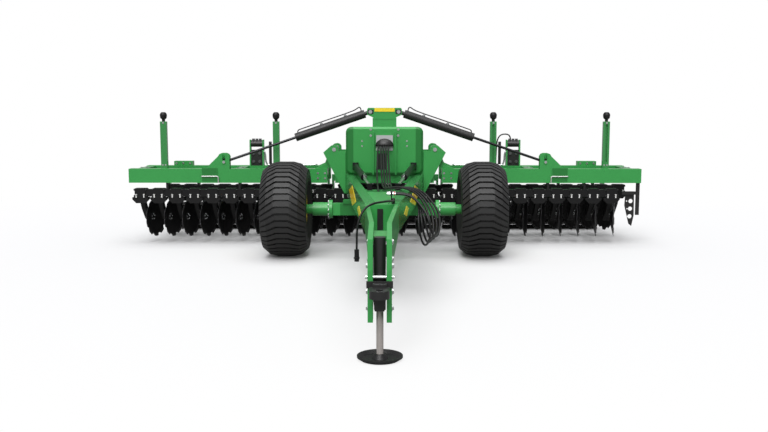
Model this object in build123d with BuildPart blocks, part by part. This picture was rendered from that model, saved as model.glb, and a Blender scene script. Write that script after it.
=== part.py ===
from build123d import *
import os
from math import cos, radians, sin, tan

os.makedirs("parts", exist_ok=True)

# Wide trailed disc harrow with two folding wings, in millimetres.
# +Z is up, the hitch points to -Y, the ground is Z = 0.

# Stance
HITCH_REACH = 5150.0
ROLLER_REACH = 2700.0
ROLLER_R = 260.0
AXLE_Y = (HITCH_REACH - ROLLER_REACH - ROLLER_R) / 2
RUN = 0.3
GAP = 10.0

# Wheels and axle
TYRE_R = 616.0
TYRE_W = 600.0
SHOULDER = 288.0
WHEEL_X = 1270.0
LUGS = 46
LUG_H = 24.0
LUG_ROOT = 160.0
LUG_SHAPE = ((0, 30), (76, 30), (SHOULDER, -84), (SHOULDER, -140), (86, -28), (0, -28))
BEAD_R = 286.0
RIM_HALF = 225.0
SPINDLE_R = 40.0
HUB_IN = 150.0
AXLE_SQ = 150.0
SLEEVE_R = 87.0
SLEEVE_X0, SLEEVE_X1 = 690.0, 925.0

# Tongue
TONGUE_Z0, TONGUE_Z1 = 735.0, 1005.0
BEAM_W = 110.0
BEAM_BACK_X, BEAM_FRONT_X = 540.0, 160.0
BEAM_FRONT_Y = AXLE_Y - 3000.0
NOSE_X = 92.0
NOSE_PLATE = 40.0
NOSE_FRONT_Y = AXLE_Y - 4880.0
COVER_Y = AXLE_Y - 1750.0

# Hitch and jack
HITCH_BORE_R = 26.0
HITCH_EYE_R = 75.0
HITCH_Z0, HITCH_Z1 = 540.0, 600.0
HITCH_Y = AXLE_Y - HITCH_REACH + HITCH_EYE_R
JACK_Y = AXLE_Y - 4790.0
JACK_R = 45.0
LEG_R = 27.5
LEG_CLEAR = 0.8
JACK_Z0, JACK_Z1 = 392.0, 950.0
JACK_STROKE = 240.0
FOOT_R = 177.0

# Frames
TUBE_Z0, TUBE_Z1 = 885.0, 1080.0
TUBE_D = 150.0
FRONT_Y = AXLE_Y + 850.0
REAR_Y = AXLE_Y + 1550.0
WING_IN, WING_OUT = 800.0, 3575.0
CENTRE_HALF = 690.0
RAIL_X, RAIL_W = 430.0, 120.0

# Wing hinge and fold cylinder, in the plane across the machine
HINGE_X, HINGE_Z = 700.0, 1350.0
PIN_R = 25.0
EAR_R = 60.0
EAR_T = 60.0
PLATE_T = 20.0
GUSSET_Y, GUSSET_T = 30.0, 16.0
CYL_Y = FRONT_Y + 50.0
CYL_X, CYL_Z = 195.0, 1870.0
ROD_X, ROD_Z = 2240.0, 1175.0
BARREL_R, BARREL_L = 57.0, 1100.0
ROD_R = 18.0
EYE_R, EYE_T = 48.0, 40.0
LUG_GAP = 60.0
EAR_TOP = 1300.0

# Mast panel and hose board
PANEL_HALF, PANEL_TOP, PANEL_CORNER = 535.0, 1665.0, 80.0
PANEL_D, PANEL_BEVEL = 60.0, 30.0
BOARD_HALF, BOARD_Z0, BOARD_Z1 = 115.0, 1340.0, 1550.0

# Hoses, from the mast's hose board round a hanging loop to the rack on the tongue
HOSES = 4
HOSE_R = 11.0
HOSE_X, HOSE_STEP, HOSE_Z = -48.0, 33.0, 1400.0
FITTING = 60.0
RACK_Y, RACK_Z = AXLE_Y - 2640.0, TONGUE_Z1 + 73.0
RACK_X, RACK_STEP = 91.0, 36.0
COUPLER_IN, COUPLER_OUT = 45.0, 132.0
HARNESS_R = 10.0
HARNESS_Z = TONGUE_Z1 + 35.0
LOOP_DROP, LOOP_SWELL = 34.0, 2.0
MID_X, MID_Z = -84.0, 930.0
PLUG_R, PLUG_L = 22.0, 110.0

# Rest posts
POSTS = (1525.0, 3110.0)
SADDLE_X = 2440.0
PAD_X, PAD_HALF = 2975.0, 136.0
UNIT_X, UNIT_HALF, UNIT_Z = 1890.0, 85.0, 1400.0
POST_W, POST_D = 90.0, 60.0
POST_TOP = 1735.0
POST_WALL = 30.0
BUMPER_TOP = 1866.0
BUMPER_R, NECK_R = 49.0, 22.0

# Gangs
PITCH = 254.0
ROW_START = -3350.0
ROW_SHIFT = PITCH / 2
GANG_SQ = 100.0
GANG_Z = 740.0
BLADE_R = 280.0
BLADE_T = 6.0
BLADE_DISH = 52.0
BLADE_FLAT = 85.0
NOTCHES = 10
HUB_Z = 365.0
HUB_BACK = 300.0
SKEW = 16.0
ARM_T = 56.0
HUB_R = 52.0
CLAMP_BACK = 78.0

# Rollers
ROLLER_BARS = 10
ROLLER_Z = ROLLER_R * cos(radians(180.0 / ROLLER_BARS))
ROLLER_Y = AXLE_Y + ROLLER_REACH
SHAFT_R = 30.0
DRUM_R = 170.0
CENTRE_ROLLER = (-795.0, 795.0)
WING_ROLLER = (915.0, 3400.0)
CHEEK_T = 30.0


def span(x, y, z, mode=Mode.ADD):
    """A box between two values on each axis."""
    size = (abs(x[1] - x[0]), abs(y[1] - y[0]), abs(z[1] - z[0]))
    with Locations((sum(x) / 2, sum(y) / 2, sum(z) / 2)):
        Box(*size, mode=mode)


def rod(start, end, radius, mode=Mode.ADD):
    """A round bar from one point to another."""
    a, b = Vector(*start), Vector(*end)
    with Locations(Plane(origin=a, z_dir=b - a)):
        Cylinder(radius, (b - a).length, align=(Align.CENTER, Align.CENTER, Align.MIN), mode=mode)


def across(points, y0, y1, mode=Mode.ADD):
    """A plate with its outline in X and Z, between two Y values."""
    with BuildSketch(Plane(origin=(0, y0, 0), x_dir=(1, 0, 0), z_dir=(0, -1, 0))) as outline:
        with BuildLine():
            Polyline(*points, close=True)
        make_face()
    extrude(outline.sketch, amount=y1 - y0, dir=(0, 1, 0), mode=mode)


def along(points, x0, x1, mode=Mode.ADD):
    """A plate with its outline in Y and Z, between two X values."""
    with BuildSketch(Plane(origin=(min(x0, x1), 0, 0), x_dir=(0, 1, 0), z_dir=(1, 0, 0))) as outline:
        with BuildLine():
            Polyline(*points, close=True)
        make_face()
    extrude(outline.sketch, amount=abs(x1 - x0), dir=(1, 0, 0), mode=mode)


def plan(points, z0, z1, mode=Mode.ADD):
    """A plate with its outline in X and Y, between two Z values."""
    with BuildSketch(Plane.XY.offset(z0)) as outline:
        with BuildLine():
            Polyline(*points, close=True)
        make_face()
    extrude(outline.sketch, amount=z1 - z0, dir=(0, 0, 1), mode=mode)


def turned(points, centre, mode=Mode.ADD):
    """A solid of revolution about the X axis through centre, from (x, radius) points."""
    with BuildSketch(Plane(origin=centre, x_dir=(1, 0, 0), z_dir=(0, -1, 0))) as outline:
        with BuildLine():
            Polyline(*points, close=True)
        make_face()
    revolve(outline.sketch, axis=Axis(centre, (1, 0, 0)), mode=mode)


def save(part, name):
    """Labels a finished piece and writes its file."""
    part.label = name
    export_step(part, f"parts/{name}.step")


SIDES = (("left", -1), ("right", 1))
ROWS = {"front": (FRONT_Y + 25.0, 0.0, 1), "rear": (REAR_Y + 25.0, ROW_SHIFT, -1)}
SECTIONS = {"wing_left": (0, 10), "centre": (10, 17), "wing_right": (17, 27)}


def disc_line(section, row):
    """The blade positions across the machine for one section of a row."""
    return [ROW_START + ROWS[row][1] + PITCH * k for k in range(*SECTIONS[section])]


def hang(section, row):
    """Hangers from a frame tube down to its gang tube, placed between the arm clamps."""
    y, _, hand = ROWS[row]
    xs = disc_line(section, row)
    for k in (1, len(xs) // 2, len(xs) - 2):
        x = xs[k] - hand * CLAMP_BACK + PITCH / 2 * (-1 if k > len(xs) / 2 else 1)
        span((x - 15, x + 15), (y, y + GANG_SQ), (GANG_Z + GANG_SQ / 2, TUBE_Z0))


# Axle: square beam between flanges, round sleeves and the wheel spindles
with BuildPart() as axle:
    span((-SLEEVE_X0, SLEEVE_X0), (AXLE_Y - AXLE_SQ / 2, AXLE_Y + AXLE_SQ / 2),
         (TYRE_R - AXLE_SQ / 2, TYRE_R + AXLE_SQ / 2))
    for _, s in SIDES:
        rod((s * (SLEEVE_X0 - 20), AXLE_Y, TYRE_R), (s * (SLEEVE_X0 + 25), AXLE_Y, TYRE_R), 118)
        rod((s * SLEEVE_X0, AXLE_Y, TYRE_R), (s * SLEEVE_X1, AXLE_Y, TYRE_R), SLEEVE_R)
        rod((s * SLEEVE_X1, AXLE_Y, TYRE_R), (s * (WHEEL_X - HUB_IN - GAP), AXLE_Y, TYRE_R), 62)
        rod((s * SLEEVE_X1, AXLE_Y, TYRE_R), (s * WHEEL_X, AXLE_Y, TYRE_R), SPINDLE_R)
        span((s * 400, s * 530), (AXLE_Y - 95, AXLE_Y + 95), (TYRE_R + AXLE_SQ / 2, TONGUE_Z0))
save(axle.part, "axle")

# Wheels: flotation tyre on a dished steel rim
TREAD_R = TYRE_R - LUG_H
SIDE_X = TYRE_W / 2
TYRE_HALF = ((0, TREAD_R), (120, TREAD_R - 6), (210, TREAD_R - 34), (SIDE_X - 14, TREAD_R - 105),
             (SIDE_X, 440), (SIDE_X - 12, 380), (RIM_HALF, 310), (RIM_HALF, BEAD_R))
TYRE_ROOM = ((0, TREAD_R - 34), (SIDE_X - 90, TREAD_R - 68), (SIDE_X - 44, 460), (SIDE_X - 40, 390),
             (RIM_HALF - 35, 312), (RIM_HALF - 35, BEAD_R - 2))
TREAD_TRIM = ((100, TYRE_R), (200, TYRE_R - 26), (SIDE_X - 6, TYRE_R - 105), (SIDE_X + 40, TYRE_R - 105),
              (SIDE_X + 40, TYRE_R + 40), (100, TYRE_R + 40))


def both(points):
    """A half profile with its mirror image, as one closed outline."""
    return points + tuple((-x, r) for x, r in reversed(points) if x > 0)


with BuildPart() as tyre_form:
    turned(both(TYRE_HALF), (0, 0, 0))
    bars = []
    for k in range(LUGS):
        turn = radians(360.0 / LUGS * k)
        out = Vector(0, sin(turn), cos(turn))
        with BuildSketch(Plane(origin=out * (TYRE_R - LUG_ROOT), x_dir=(1, 0, 0), z_dir=out)) as bar:
            with BuildLine():
                Polyline(*LUG_SHAPE, *((-x, y) for x, y in reversed(LUG_SHAPE[1:-1])), close=True)
            make_face()
        bars.append(extrude(bar.sketch, amount=LUG_ROOT, dir=tuple(out), mode=Mode.PRIVATE))
    add(bars)
    for _, s in SIDES:
        turned(tuple((s * x, r) for x, r in TREAD_TRIM), (0, 0, 0), mode=Mode.SUBTRACT)
    turned(both(TYRE_ROOM), (0, 0, 0), mode=Mode.SUBTRACT)
for side, s in SIDES:
    hub = (s * WHEEL_X, AXLE_Y, TYRE_R)
    with BuildPart() as tyre:
        with Locations(hub):
            add(tyre_form.part)
    save(tyre.part, f"tyre_{side}")
    with BuildPart() as rim:
        turned(both(((RIM_HALF, BEAD_R), (RIM_HALF, 306), (RIM_HALF + 15, 306), (RIM_HALF + 15, 274))), hub)
        turned(tuple((s * x, r) for x, r in ((30, 60), (46, 60), (46, 150), (116, 274.5), (98, 274.5),
                                              (30, 152))), hub)
        turned(tuple((s * x, r) for x, r in ((-HUB_IN, SPINDLE_R + RUN), (5, SPINDLE_R + RUN), (5, 0),
                                              (105, 0), (105, 70), (75, 92), (-HUB_IN, 92))), hub)
    save(rim.part, f"rim_{side}")

# Tongue: two beams that close in to a nose with fork cheeks
for side, s in SIDES:
    back, front = (s * BEAM_BACK_X, FRONT_Y), (s * BEAM_FRONT_X, BEAM_FRONT_Y)
    with BuildPart() as beam:
        plan((back, front, (front[0] - s * BEAM_W, front[1]), (back[0] - s * BEAM_W, back[1])),
             TONGUE_Z0, TONGUE_Z1)
    save(beam.part, f"tongue_beam_{side}")


def inner_x(y):
    """How far a beam's inner face is from the middle at one place along the tongue."""
    slope = (BEAM_BACK_X - BEAM_FRONT_X) / (FRONT_Y - BEAM_FRONT_Y)
    return BEAM_FRONT_X - BEAM_W + slope * (y - BEAM_FRONT_Y)


with BuildPart() as tongue_nose:
    span((-BEAM_FRONT_X, BEAM_FRONT_X), (BEAM_FRONT_Y - 40, BEAM_FRONT_Y), (TONGUE_Z0, TONGUE_Z1))
    for _, s in SIDES:
        wide, slim = s * BEAM_FRONT_X, s * NOSE_X
        plan(((wide, BEAM_FRONT_Y - 30), (slim, JACK_Y + 420), (slim, NOSE_FRONT_Y),
              (slim - s * NOSE_PLATE, NOSE_FRONT_Y), (slim - s * NOSE_PLATE, JACK_Y + 420),
              (wide - s * NOSE_PLATE, BEAM_FRONT_Y - 30)), 300, TONGUE_Z1)
    NOSE_LOW = ((BEAM_FRONT_Y, 299), (BEAM_FRONT_Y, TONGUE_Z0), (JACK_Y + 420, 620), (JACK_Y + 150, 540),
                (JACK_Y + 60, 310), (NOSE_FRONT_Y - 1, 310), (NOSE_FRONT_Y - 1, 299))
    along(NOSE_LOW, -200, 200, mode=Mode.SUBTRACT)
    along(((JACK_Y + 420, TONGUE_Z1 + 1), (NOSE_FRONT_Y - 1, TONGUE_Z1 + 1), (NOSE_FRONT_Y - 1, 700),
           (JACK_Y - 60, 940)), -200, 200, mode=Mode.SUBTRACT)
    span((-NOSE_X, NOSE_X), (JACK_Y + 120, JACK_Y + 420), (900, 940))
    rod((-NOSE_X - 18, JACK_Y - 65, HITCH_Z1 + 55), (NOSE_X + 18, JACK_Y - 65, HITCH_Z1 + 55), 13)
    cover_x = inner_x(COVER_Y)
    plan(((-cover_x, COVER_Y), (cover_x, COVER_Y), (inner_x(BEAM_FRONT_Y), BEAM_FRONT_Y),
          (-inner_x(BEAM_FRONT_Y), BEAM_FRONT_Y)), TONGUE_Z1 - PLATE_T, TONGUE_Z1)
save(tongue_nose.part, "tongue_nose")

# Hitch casting between the cheeks, with the drawbar bore
with BuildPart() as hitch:
    cheek = NOSE_X - NOSE_PLATE
    across(((-cheek, HITCH_Z1 + 20), (cheek, HITCH_Z1 + 20), (cheek, HITCH_Z0), (cheek - 16, HITCH_Z0 - 120),
            (16 - cheek, HITCH_Z0 - 120), (-cheek, HITCH_Z0)), HITCH_Y + 95, NOSE_FRONT_Y + 30)
    span((-NOSE_X - 8, NOSE_X + 8), (NOSE_FRONT_Y - 30, NOSE_FRONT_Y), (HITCH_Z1 - 20, HITCH_Z1 + 30))
    span((-HITCH_EYE_R, HITCH_EYE_R), (HITCH_Y, HITCH_Y + 120), (HITCH_Z0, HITCH_Z1))
    rod((0, HITCH_Y, HITCH_Z0), (0, HITCH_Y, HITCH_Z1), HITCH_EYE_R)
    rod((0, HITCH_Y, HITCH_Z0), (0, HITCH_Y, HITCH_Z1), HITCH_BORE_R, mode=Mode.SUBTRACT)
save(hitch.part, "hitch")

with BuildPart() as jack_tube:
    rod((0, JACK_Y, JACK_Z0), (0, JACK_Y, JACK_Z1), JACK_R)
    rod((0, JACK_Y, JACK_Z0), (0, JACK_Y, JACK_Z1 - 12), LEG_R + LEG_CLEAR, mode=Mode.SUBTRACT)
    for z in (560.0, 800.0):
        for _, s in SIDES:
            span((s * (JACK_R - 4), s * (NOSE_X - NOSE_PLATE)), (JACK_Y - 15, JACK_Y + 15), (z, z + 90))
save(jack_tube.part, "jack_tube")

with BuildPart() as jack_leg:
    rod((0, JACK_Y, 40), (0, JACK_Y, JACK_Z1 - JACK_STROKE - 30), LEG_R)
    with BuildSketch(Plane(origin=(0, JACK_Y, 0), x_dir=(1, 0, 0), z_dir=(0, -1, 0))):
        with BuildLine():
            Polyline((0, 0), (FOOT_R - 30, 0), (FOOT_R, 20), (FOOT_R, 34), (FOOT_R - 9, 34),
                     (FOOT_R - 36, 10), (62, 10), (44, 46), (0, 46), close=True)
        make_face()
    revolve(axis=Axis((0, JACK_Y, 0), (0, 0, 1)))
save(jack_leg.part, "jack_leg")

# Centre frame: two cross tubes and the rails between them
with BuildPart() as centre_frame:
    for y in (FRONT_Y, REAR_Y):
        span((-CENTRE_HALF, CENTRE_HALF), (y, y + TUBE_D), (TUBE_Z0, TUBE_Z1))
    for _, s in SIDES:
        span((s * (RAIL_X - RAIL_W / 2), s * (RAIL_X + RAIL_W / 2)), (FRONT_Y + TUBE_D, REAR_Y),
             (TUBE_Z0, TUBE_Z1))
    for row in ROWS:
        hang("centre", row)
save(centre_frame.part, "centre_frame")

# Hinge plates: a pair either side of each wing ear, with the pin through them
EAR_Y = (FRONT_Y + 45.0, REAR_Y + 45.0)
with BuildPart() as hinge_plates:
    for _, s in SIDES:
        outline = tuple((s * x, z) for x, z in (
            (850, 1310), (745, HINGE_Z + EAR_R - 8), (700, HINGE_Z + EAR_R), (655, HINGE_Z + 40), (640, 1315),
            (500, 1315), (500, TUBE_Z1), (690, TUBE_Z1)))
        for y in EAR_Y:
            for y0 in (y - PLATE_T - 6, y + EAR_T + 6):
                across(outline, y0, y0 + PLATE_T)
            front = FRONT_Y - GUSSET_Y - 10 if y == EAR_Y[0] else y - PLATE_T - 24
            rod((s * HINGE_X, front, HINGE_Z), (s * HINGE_X, y + EAR_T + PLATE_T + 24, HINGE_Z), PIN_R)
        across(tuple((s * x, z) for x, z in (
            (BEAM_BACK_X + 1, 1330), (640, 1330), (655, HINGE_Z + 40), (700, HINGE_Z + EAR_R),
            (745, HINGE_Z + EAR_R - 8), (850, 1310), (BEAM_BACK_X + 20, TONGUE_Z0 + 7),
            (BEAM_BACK_X + 1, TONGUE_Z0 + 7))), FRONT_Y - GUSSET_Y, FRONT_Y - GUSSET_Y + GUSSET_T)
save(hinge_plates.part, "hinge_plates")

# Mast: panel, tower and the head that carries the fold cylinders
with BuildPart() as mast_panel:
    with BuildSketch(Plane(origin=(0, FRONT_Y, 0), x_dir=(1, 0, 0), z_dir=(0, -1, 0))) as panel_shape:
        with Locations((0, (TONGUE_Z1 + PANEL_TOP) / 2)):
            Rectangle(2 * PANEL_HALF, PANEL_TOP - TONGUE_Z1)
        fillet(panel_shape.vertices().group_by(Axis.Z)[-1], PANEL_CORNER)
    extrude(panel_shape.sketch, amount=PANEL_D, dir=(0, -1, 0))
    rim_edges = mast_panel.faces().sort_by(Axis.Y)[0].outer_wire().edges()
    chamfer(rim_edges.filter_by(lambda e: e.center().Z > TONGUE_Z1 + 1), PANEL_BEVEL)
    with BuildSketch(Plane(origin=(0, FRONT_Y, 0), x_dir=(1, 0, 0), z_dir=(0, -1, 0))) as panel_inside:
        with Locations((0, (TONGUE_Z1 + PANEL_TOP) / 2 - 6)):
            Rectangle(2 * PANEL_HALF - 24, PANEL_TOP - TONGUE_Z1 - 12)
        fillet(panel_inside.vertices().group_by(Axis.Z)[-1], PANEL_CORNER - 12)
    extrude(panel_inside.sketch, amount=PANEL_D - PANEL_BEVEL - 6, dir=(0, -1, 0), mode=Mode.SUBTRACT)
    for _, s in SIDES:
        span((s * 100, s * 130), (FRONT_Y - PANEL_BEVEL, FRONT_Y + 5), (1100, 1600))
        span((s * 145, s * 165), (FRONT_Y - PANEL_D - 45, FRONT_Y - PANEL_D + 6), (TONGUE_Z1, 1600))
    across(((-BOARD_HALF, BOARD_Z0), (BOARD_HALF, BOARD_Z0), (BOARD_HALF, BOARD_Z1), (-BOARD_HALF, BOARD_Z1)),
           FRONT_Y - PANEL_D - 14, FRONT_Y - PANEL_D)
    for x in (MID_X, *(HOSE_X + HOSE_STEP * k for k in range(HOSES))):
        rod((x, FRONT_Y - PANEL_D - FITTING, HOSE_Z), (x, FRONT_Y - PANEL_D - 14, HOSE_Z), HOSE_R + 2)
save(mast_panel.part, "mast_panel")

with BuildPart() as mast_tower:
    span((-165, 165), (FRONT_Y + 5, FRONT_Y + 15), (TUBE_Z1, 1790))
    for _, s in SIDES:
        span((s * 145, s * 165), (FRONT_Y + 5, FRONT_Y + 140), (TUBE_Z1, 1790))
        for y in (CYL_Y - LUG_GAP / 2 - PLATE_T, CYL_Y + LUG_GAP / 2):
            across(tuple((s * x, z) for x, z in (
                (0, 1790), (150, 1790), (CYL_X + 35, 1825), (CYL_X + 45, 1845), (CYL_X + 45, 1905),
                (CYL_X + 30, 1925), (0, 1925))), y, y + PLATE_T)
        for y in (CYL_Y - LUG_GAP / 2 - PLATE_T - 15, CYL_Y + LUG_GAP / 2 + PLATE_T):
            rod((s * CYL_X, y, CYL_Z), (s * CYL_X, y + 15, CYL_Z), PIN_R)
        rod((s * CYL_X, CYL_Y - LUG_GAP / 2, CYL_Z), (s * CYL_X, CYL_Y + LUG_GAP / 2, CYL_Z), PIN_R)
    span((-165, 165), (CYL_Y - LUG_GAP / 2 - PLATE_T, CYL_Y + LUG_GAP / 2 + PLATE_T), (1770, 1790))
save(mast_tower.part, "mast_tower")

# Fold cylinders: barrel on the mast, rod to the wing, drawn with the wings down
for side, s in SIDES:
    base, tip = Vector(s * CYL_X, CYL_Y, CYL_Z), Vector(s * ROD_X, CYL_Y, ROD_Z)
    aim = (tip - base).normalized()

    def at(distance):
        """A point on the cylinder's line, measured from the mast pin."""
        return tuple(base + aim * distance)

    length = (tip - base).length
    with BuildPart() as barrel:
        rod(at(82), at(BARREL_L), BARREL_R)
        rod(tuple(base - Vector(0, EYE_T / 2, 0)), tuple(base + Vector(0, EYE_T / 2, 0)), EYE_R)
        rod(at(36), at(84), 28)
        rod(tuple(base - Vector(0, EYE_T, 0)), tuple(base + Vector(0, EYE_T, 0)), PIN_R + RUN,
            mode=Mode.SUBTRACT)
        rod(at(95), at(BARREL_L + 1), ROD_R + LEG_CLEAR, mode=Mode.SUBTRACT)
    save(barrel.part, f"fold_barrel_{side}")
    with BuildPart() as piston_rod:
        rod(at(BARREL_L - 10), at(length - EYE_R + 8), ROD_R)
        rod(tuple(tip - Vector(0, EYE_T / 2, 0)), tuple(tip + Vector(0, EYE_T / 2, 0)), EYE_R)
        rod(tuple(tip - Vector(0, EYE_T, 0)), tuple(tip + Vector(0, EYE_T, 0)), PIN_R + RUN,
            mode=Mode.SUBTRACT)
    save(piston_rod.part, f"fold_rod_{side}")

# Levelling cylinders between the tongue's cross member and the mast
with BuildPart() as level_cylinders:
    for _, s in SIDES:
        rear, fore = (s * 400, FRONT_Y - 100, 1125), (s * 170, AXLE_Y - 725, 985)
        a, b = Vector(*rear), Vector(*fore)
        rod(rear, tuple(a + (b - a) * 0.62), 42)
        rod(tuple(a + (b - a) * 0.6), fore, 20)
        span((s * 140, s * 200), (AXLE_Y - 760, AXLE_Y - 690), (930, 1010))
        span((s * 360, s * 440), (FRONT_Y - 130, FRONT_Y - PANEL_D), (1075, 1175))
save(level_cylinders.part, "level_cylinders")

with BuildPart() as tongue_cross:
    y0, y1 = AXLE_Y - 800, AXLE_Y - 650
    x0, x1 = inner_x(y0), inner_x(y1)
    plan(((-x0, y0), (x0, y0), (x1, y1), (-x1, y1)), 790, 930)
save(tongue_cross.part, "tongue_cross")

# One notched, dished blade about its own axis: concave to +Z, flat middle at Z = 0
with BuildPart() as blade:
    for lift, mode in ((0.0, Mode.ADD), (BLADE_T, Mode.SUBTRACT)):
        with BuildSketch(Plane.XY.offset(lift)):
            RegularPolygon(BLADE_FLAT, NOTCHES)
        with BuildSketch(Plane.XY.offset(lift + BLADE_DISH)):
            RegularPolygon(BLADE_R, NOTCHES)
        loft(mode=mode)
    with BuildSketch(Plane.XY.offset(-1)) as cut:
        with PolarLocations(BLADE_R, NOTCHES):
            with Locations((-12, 0)):
                Trapezoid(74, 34, 50, rotation=90)
    extrude(amount=BLADE_DISH + BLADE_T + 2, mode=Mode.SUBTRACT)


def gang(name, discs, bar, tube_y, hand):
    """One gang: a square tube with an arm per blade, and the blades. hand is +1 front row, -1 rear row."""
    hub_y = tube_y + GANG_SQ / 2 + HUB_BACK
    spots = [Plane(origin=(x, hub_y, HUB_Z), z_dir=(hand * cos(radians(SKEW)), -sin(radians(SKEW)), 0),
                   x_dir=(0, 0, 1)) for x in discs]
    with BuildPart() as arms:
        span(bar, (tube_y, tube_y + GANG_SQ), (GANG_Z - GANG_SQ / 2, GANG_Z + GANG_SQ / 2))
        low = GANG_Z - GANG_SQ / 2
        shape = ((tube_y - 12, low + 30), (tube_y - 12, low - 24), (tube_y + 70, low - 70),
                 (tube_y + 150, low - 190), (hub_y - 40, HUB_Z - 20), (hub_y + 20, HUB_Z - 40),
                 (hub_y + 44, HUB_Z + 20), (hub_y - 20, HUB_Z + 80), (tube_y + 190, low - 60),
                 (tube_y + GANG_SQ + 12, low + 30))
        for x, spot in zip(discs, spots):
            back = x - hand * CLAMP_BACK
            along(shape, back - ARM_T / 2, back + ARM_T / 2)
            span((back - 75, back + 75), (tube_y - 12, tube_y + GANG_SQ + 12), (low - 14, low + GANG_SQ + 14))
            span((back - 60, back + 60), (tube_y - 12, tube_y + GANG_SQ - 4), (low - 62, low - 13))
            start = tuple(spot.origin - spot.z_dir * 100)
            rod(start, tuple(spot.origin), HUB_R)
    save(arms.part, f"{name}_arms")
    with BuildPart() as blades:
        with Locations(*spots):
            add(blade.part)
    save(blades.part, f"{name}_blades")


for row, (tube_y, shift, hand) in ROWS.items():
    for section in SECTIONS:
        xs = disc_line(section, row)
        gang(f"{section}_{row}", xs, (xs[0] - CLAMP_BACK - 80, xs[-1] + 5) if hand > 0 else
             (xs[0] - 5, xs[-1] + CLAMP_BACK + 80), tube_y, hand)


def roller(name, ends):
    """A bar roller: shaft, spider plates and flat bars, resting on two bars."""
    middle = (0, ROLLER_Y, ROLLER_Z)
    x0, x1 = min(ends), max(ends)
    with BuildPart() as cage:
        rod((x0 - CHEEK_T - GAP, ROLLER_Y, ROLLER_Z), (x1 + CHEEK_T + GAP, ROLLER_Y, ROLLER_Z), SHAFT_R)
        rod((x0 + 40, ROLLER_Y, ROLLER_Z), (x1 - 40, ROLLER_Y, ROLLER_Z), DRUM_R)
        count = 3 if x1 - x0 < 2000 else 5
        for k in range(count):
            x = x0 + 6 + (x1 - x0 - 24) * k / (count - 1)
            with BuildSketch(Plane(origin=(x, ROLLER_Y, ROLLER_Z), x_dir=(0, 1, 0), z_dir=(1, 0,
                0))) as spider:
                RegularPolygon(ROLLER_R - 22, ROLLER_BARS)
            extrude(spider.sketch, amount=12, dir=(1, 0, 0))
        with BuildSketch(Plane(origin=(x0, ROLLER_Y, ROLLER_Z), x_dir=(0, 1, 0), z_dir=(1, 0, 0))) as bars:
            with PolarLocations(ROLLER_R - 25, ROLLER_BARS):
                Rectangle(50, 12)
        extrude(bars.sketch, amount=x1 - x0, dir=(1, 0, 0))
    save(cage.part, name)


def roller_frame(name, ends, arms):
    """Arms from the rear tube to a cross tube, and cheeks down to the roller's shaft."""
    x0, x1 = min(ends), max(ends)
    back = REAR_Y + TUBE_D
    with BuildPart() as frame:
        span((x0 - GAP - CHEEK_T, x1 + GAP + CHEEK_T), (ROLLER_Y - 330, ROLLER_Y - 230), (790, 890))
        for x in arms:
            along(((back, TUBE_Z0), (back, TUBE_Z1), (back + 90, TUBE_Z1), (ROLLER_Y - 270, 889),
                (ROLLER_Y - 270, 800)),
                  x - 40, x + 40)
        for x in (x0 - GAP - CHEEK_T, x1 + GAP):
            along(((ROLLER_Y - 320, 880), (ROLLER_Y - 320, 700), (ROLLER_Y - 70, ROLLER_Z - 60),
                   (ROLLER_Y + 60, ROLLER_Z - 60), (ROLLER_Y + 70, ROLLER_Z + 60), (ROLLER_Y - 200, 880)),
                  x, x + CHEEK_T)
            rod((x - 1, ROLLER_Y, ROLLER_Z), (x + CHEEK_T + 1, ROLLER_Y, ROLLER_Z), SHAFT_R + RUN,
                mode=Mode.SUBTRACT)
    save(frame.part, name)


roller("centre_roller", CENTRE_ROLLER)
roller_frame("centre_roller_frame", CENTRE_ROLLER, (-430.0, 430.0))
for side, s in SIDES:
    ends = tuple(s * x for x in WING_ROLLER)
    roller(f"wing_{side}_roller", ends)
    roller_frame(f"wing_{side}_roller_frame", ends, (s * 1400.0, s * 3040.0))

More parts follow.
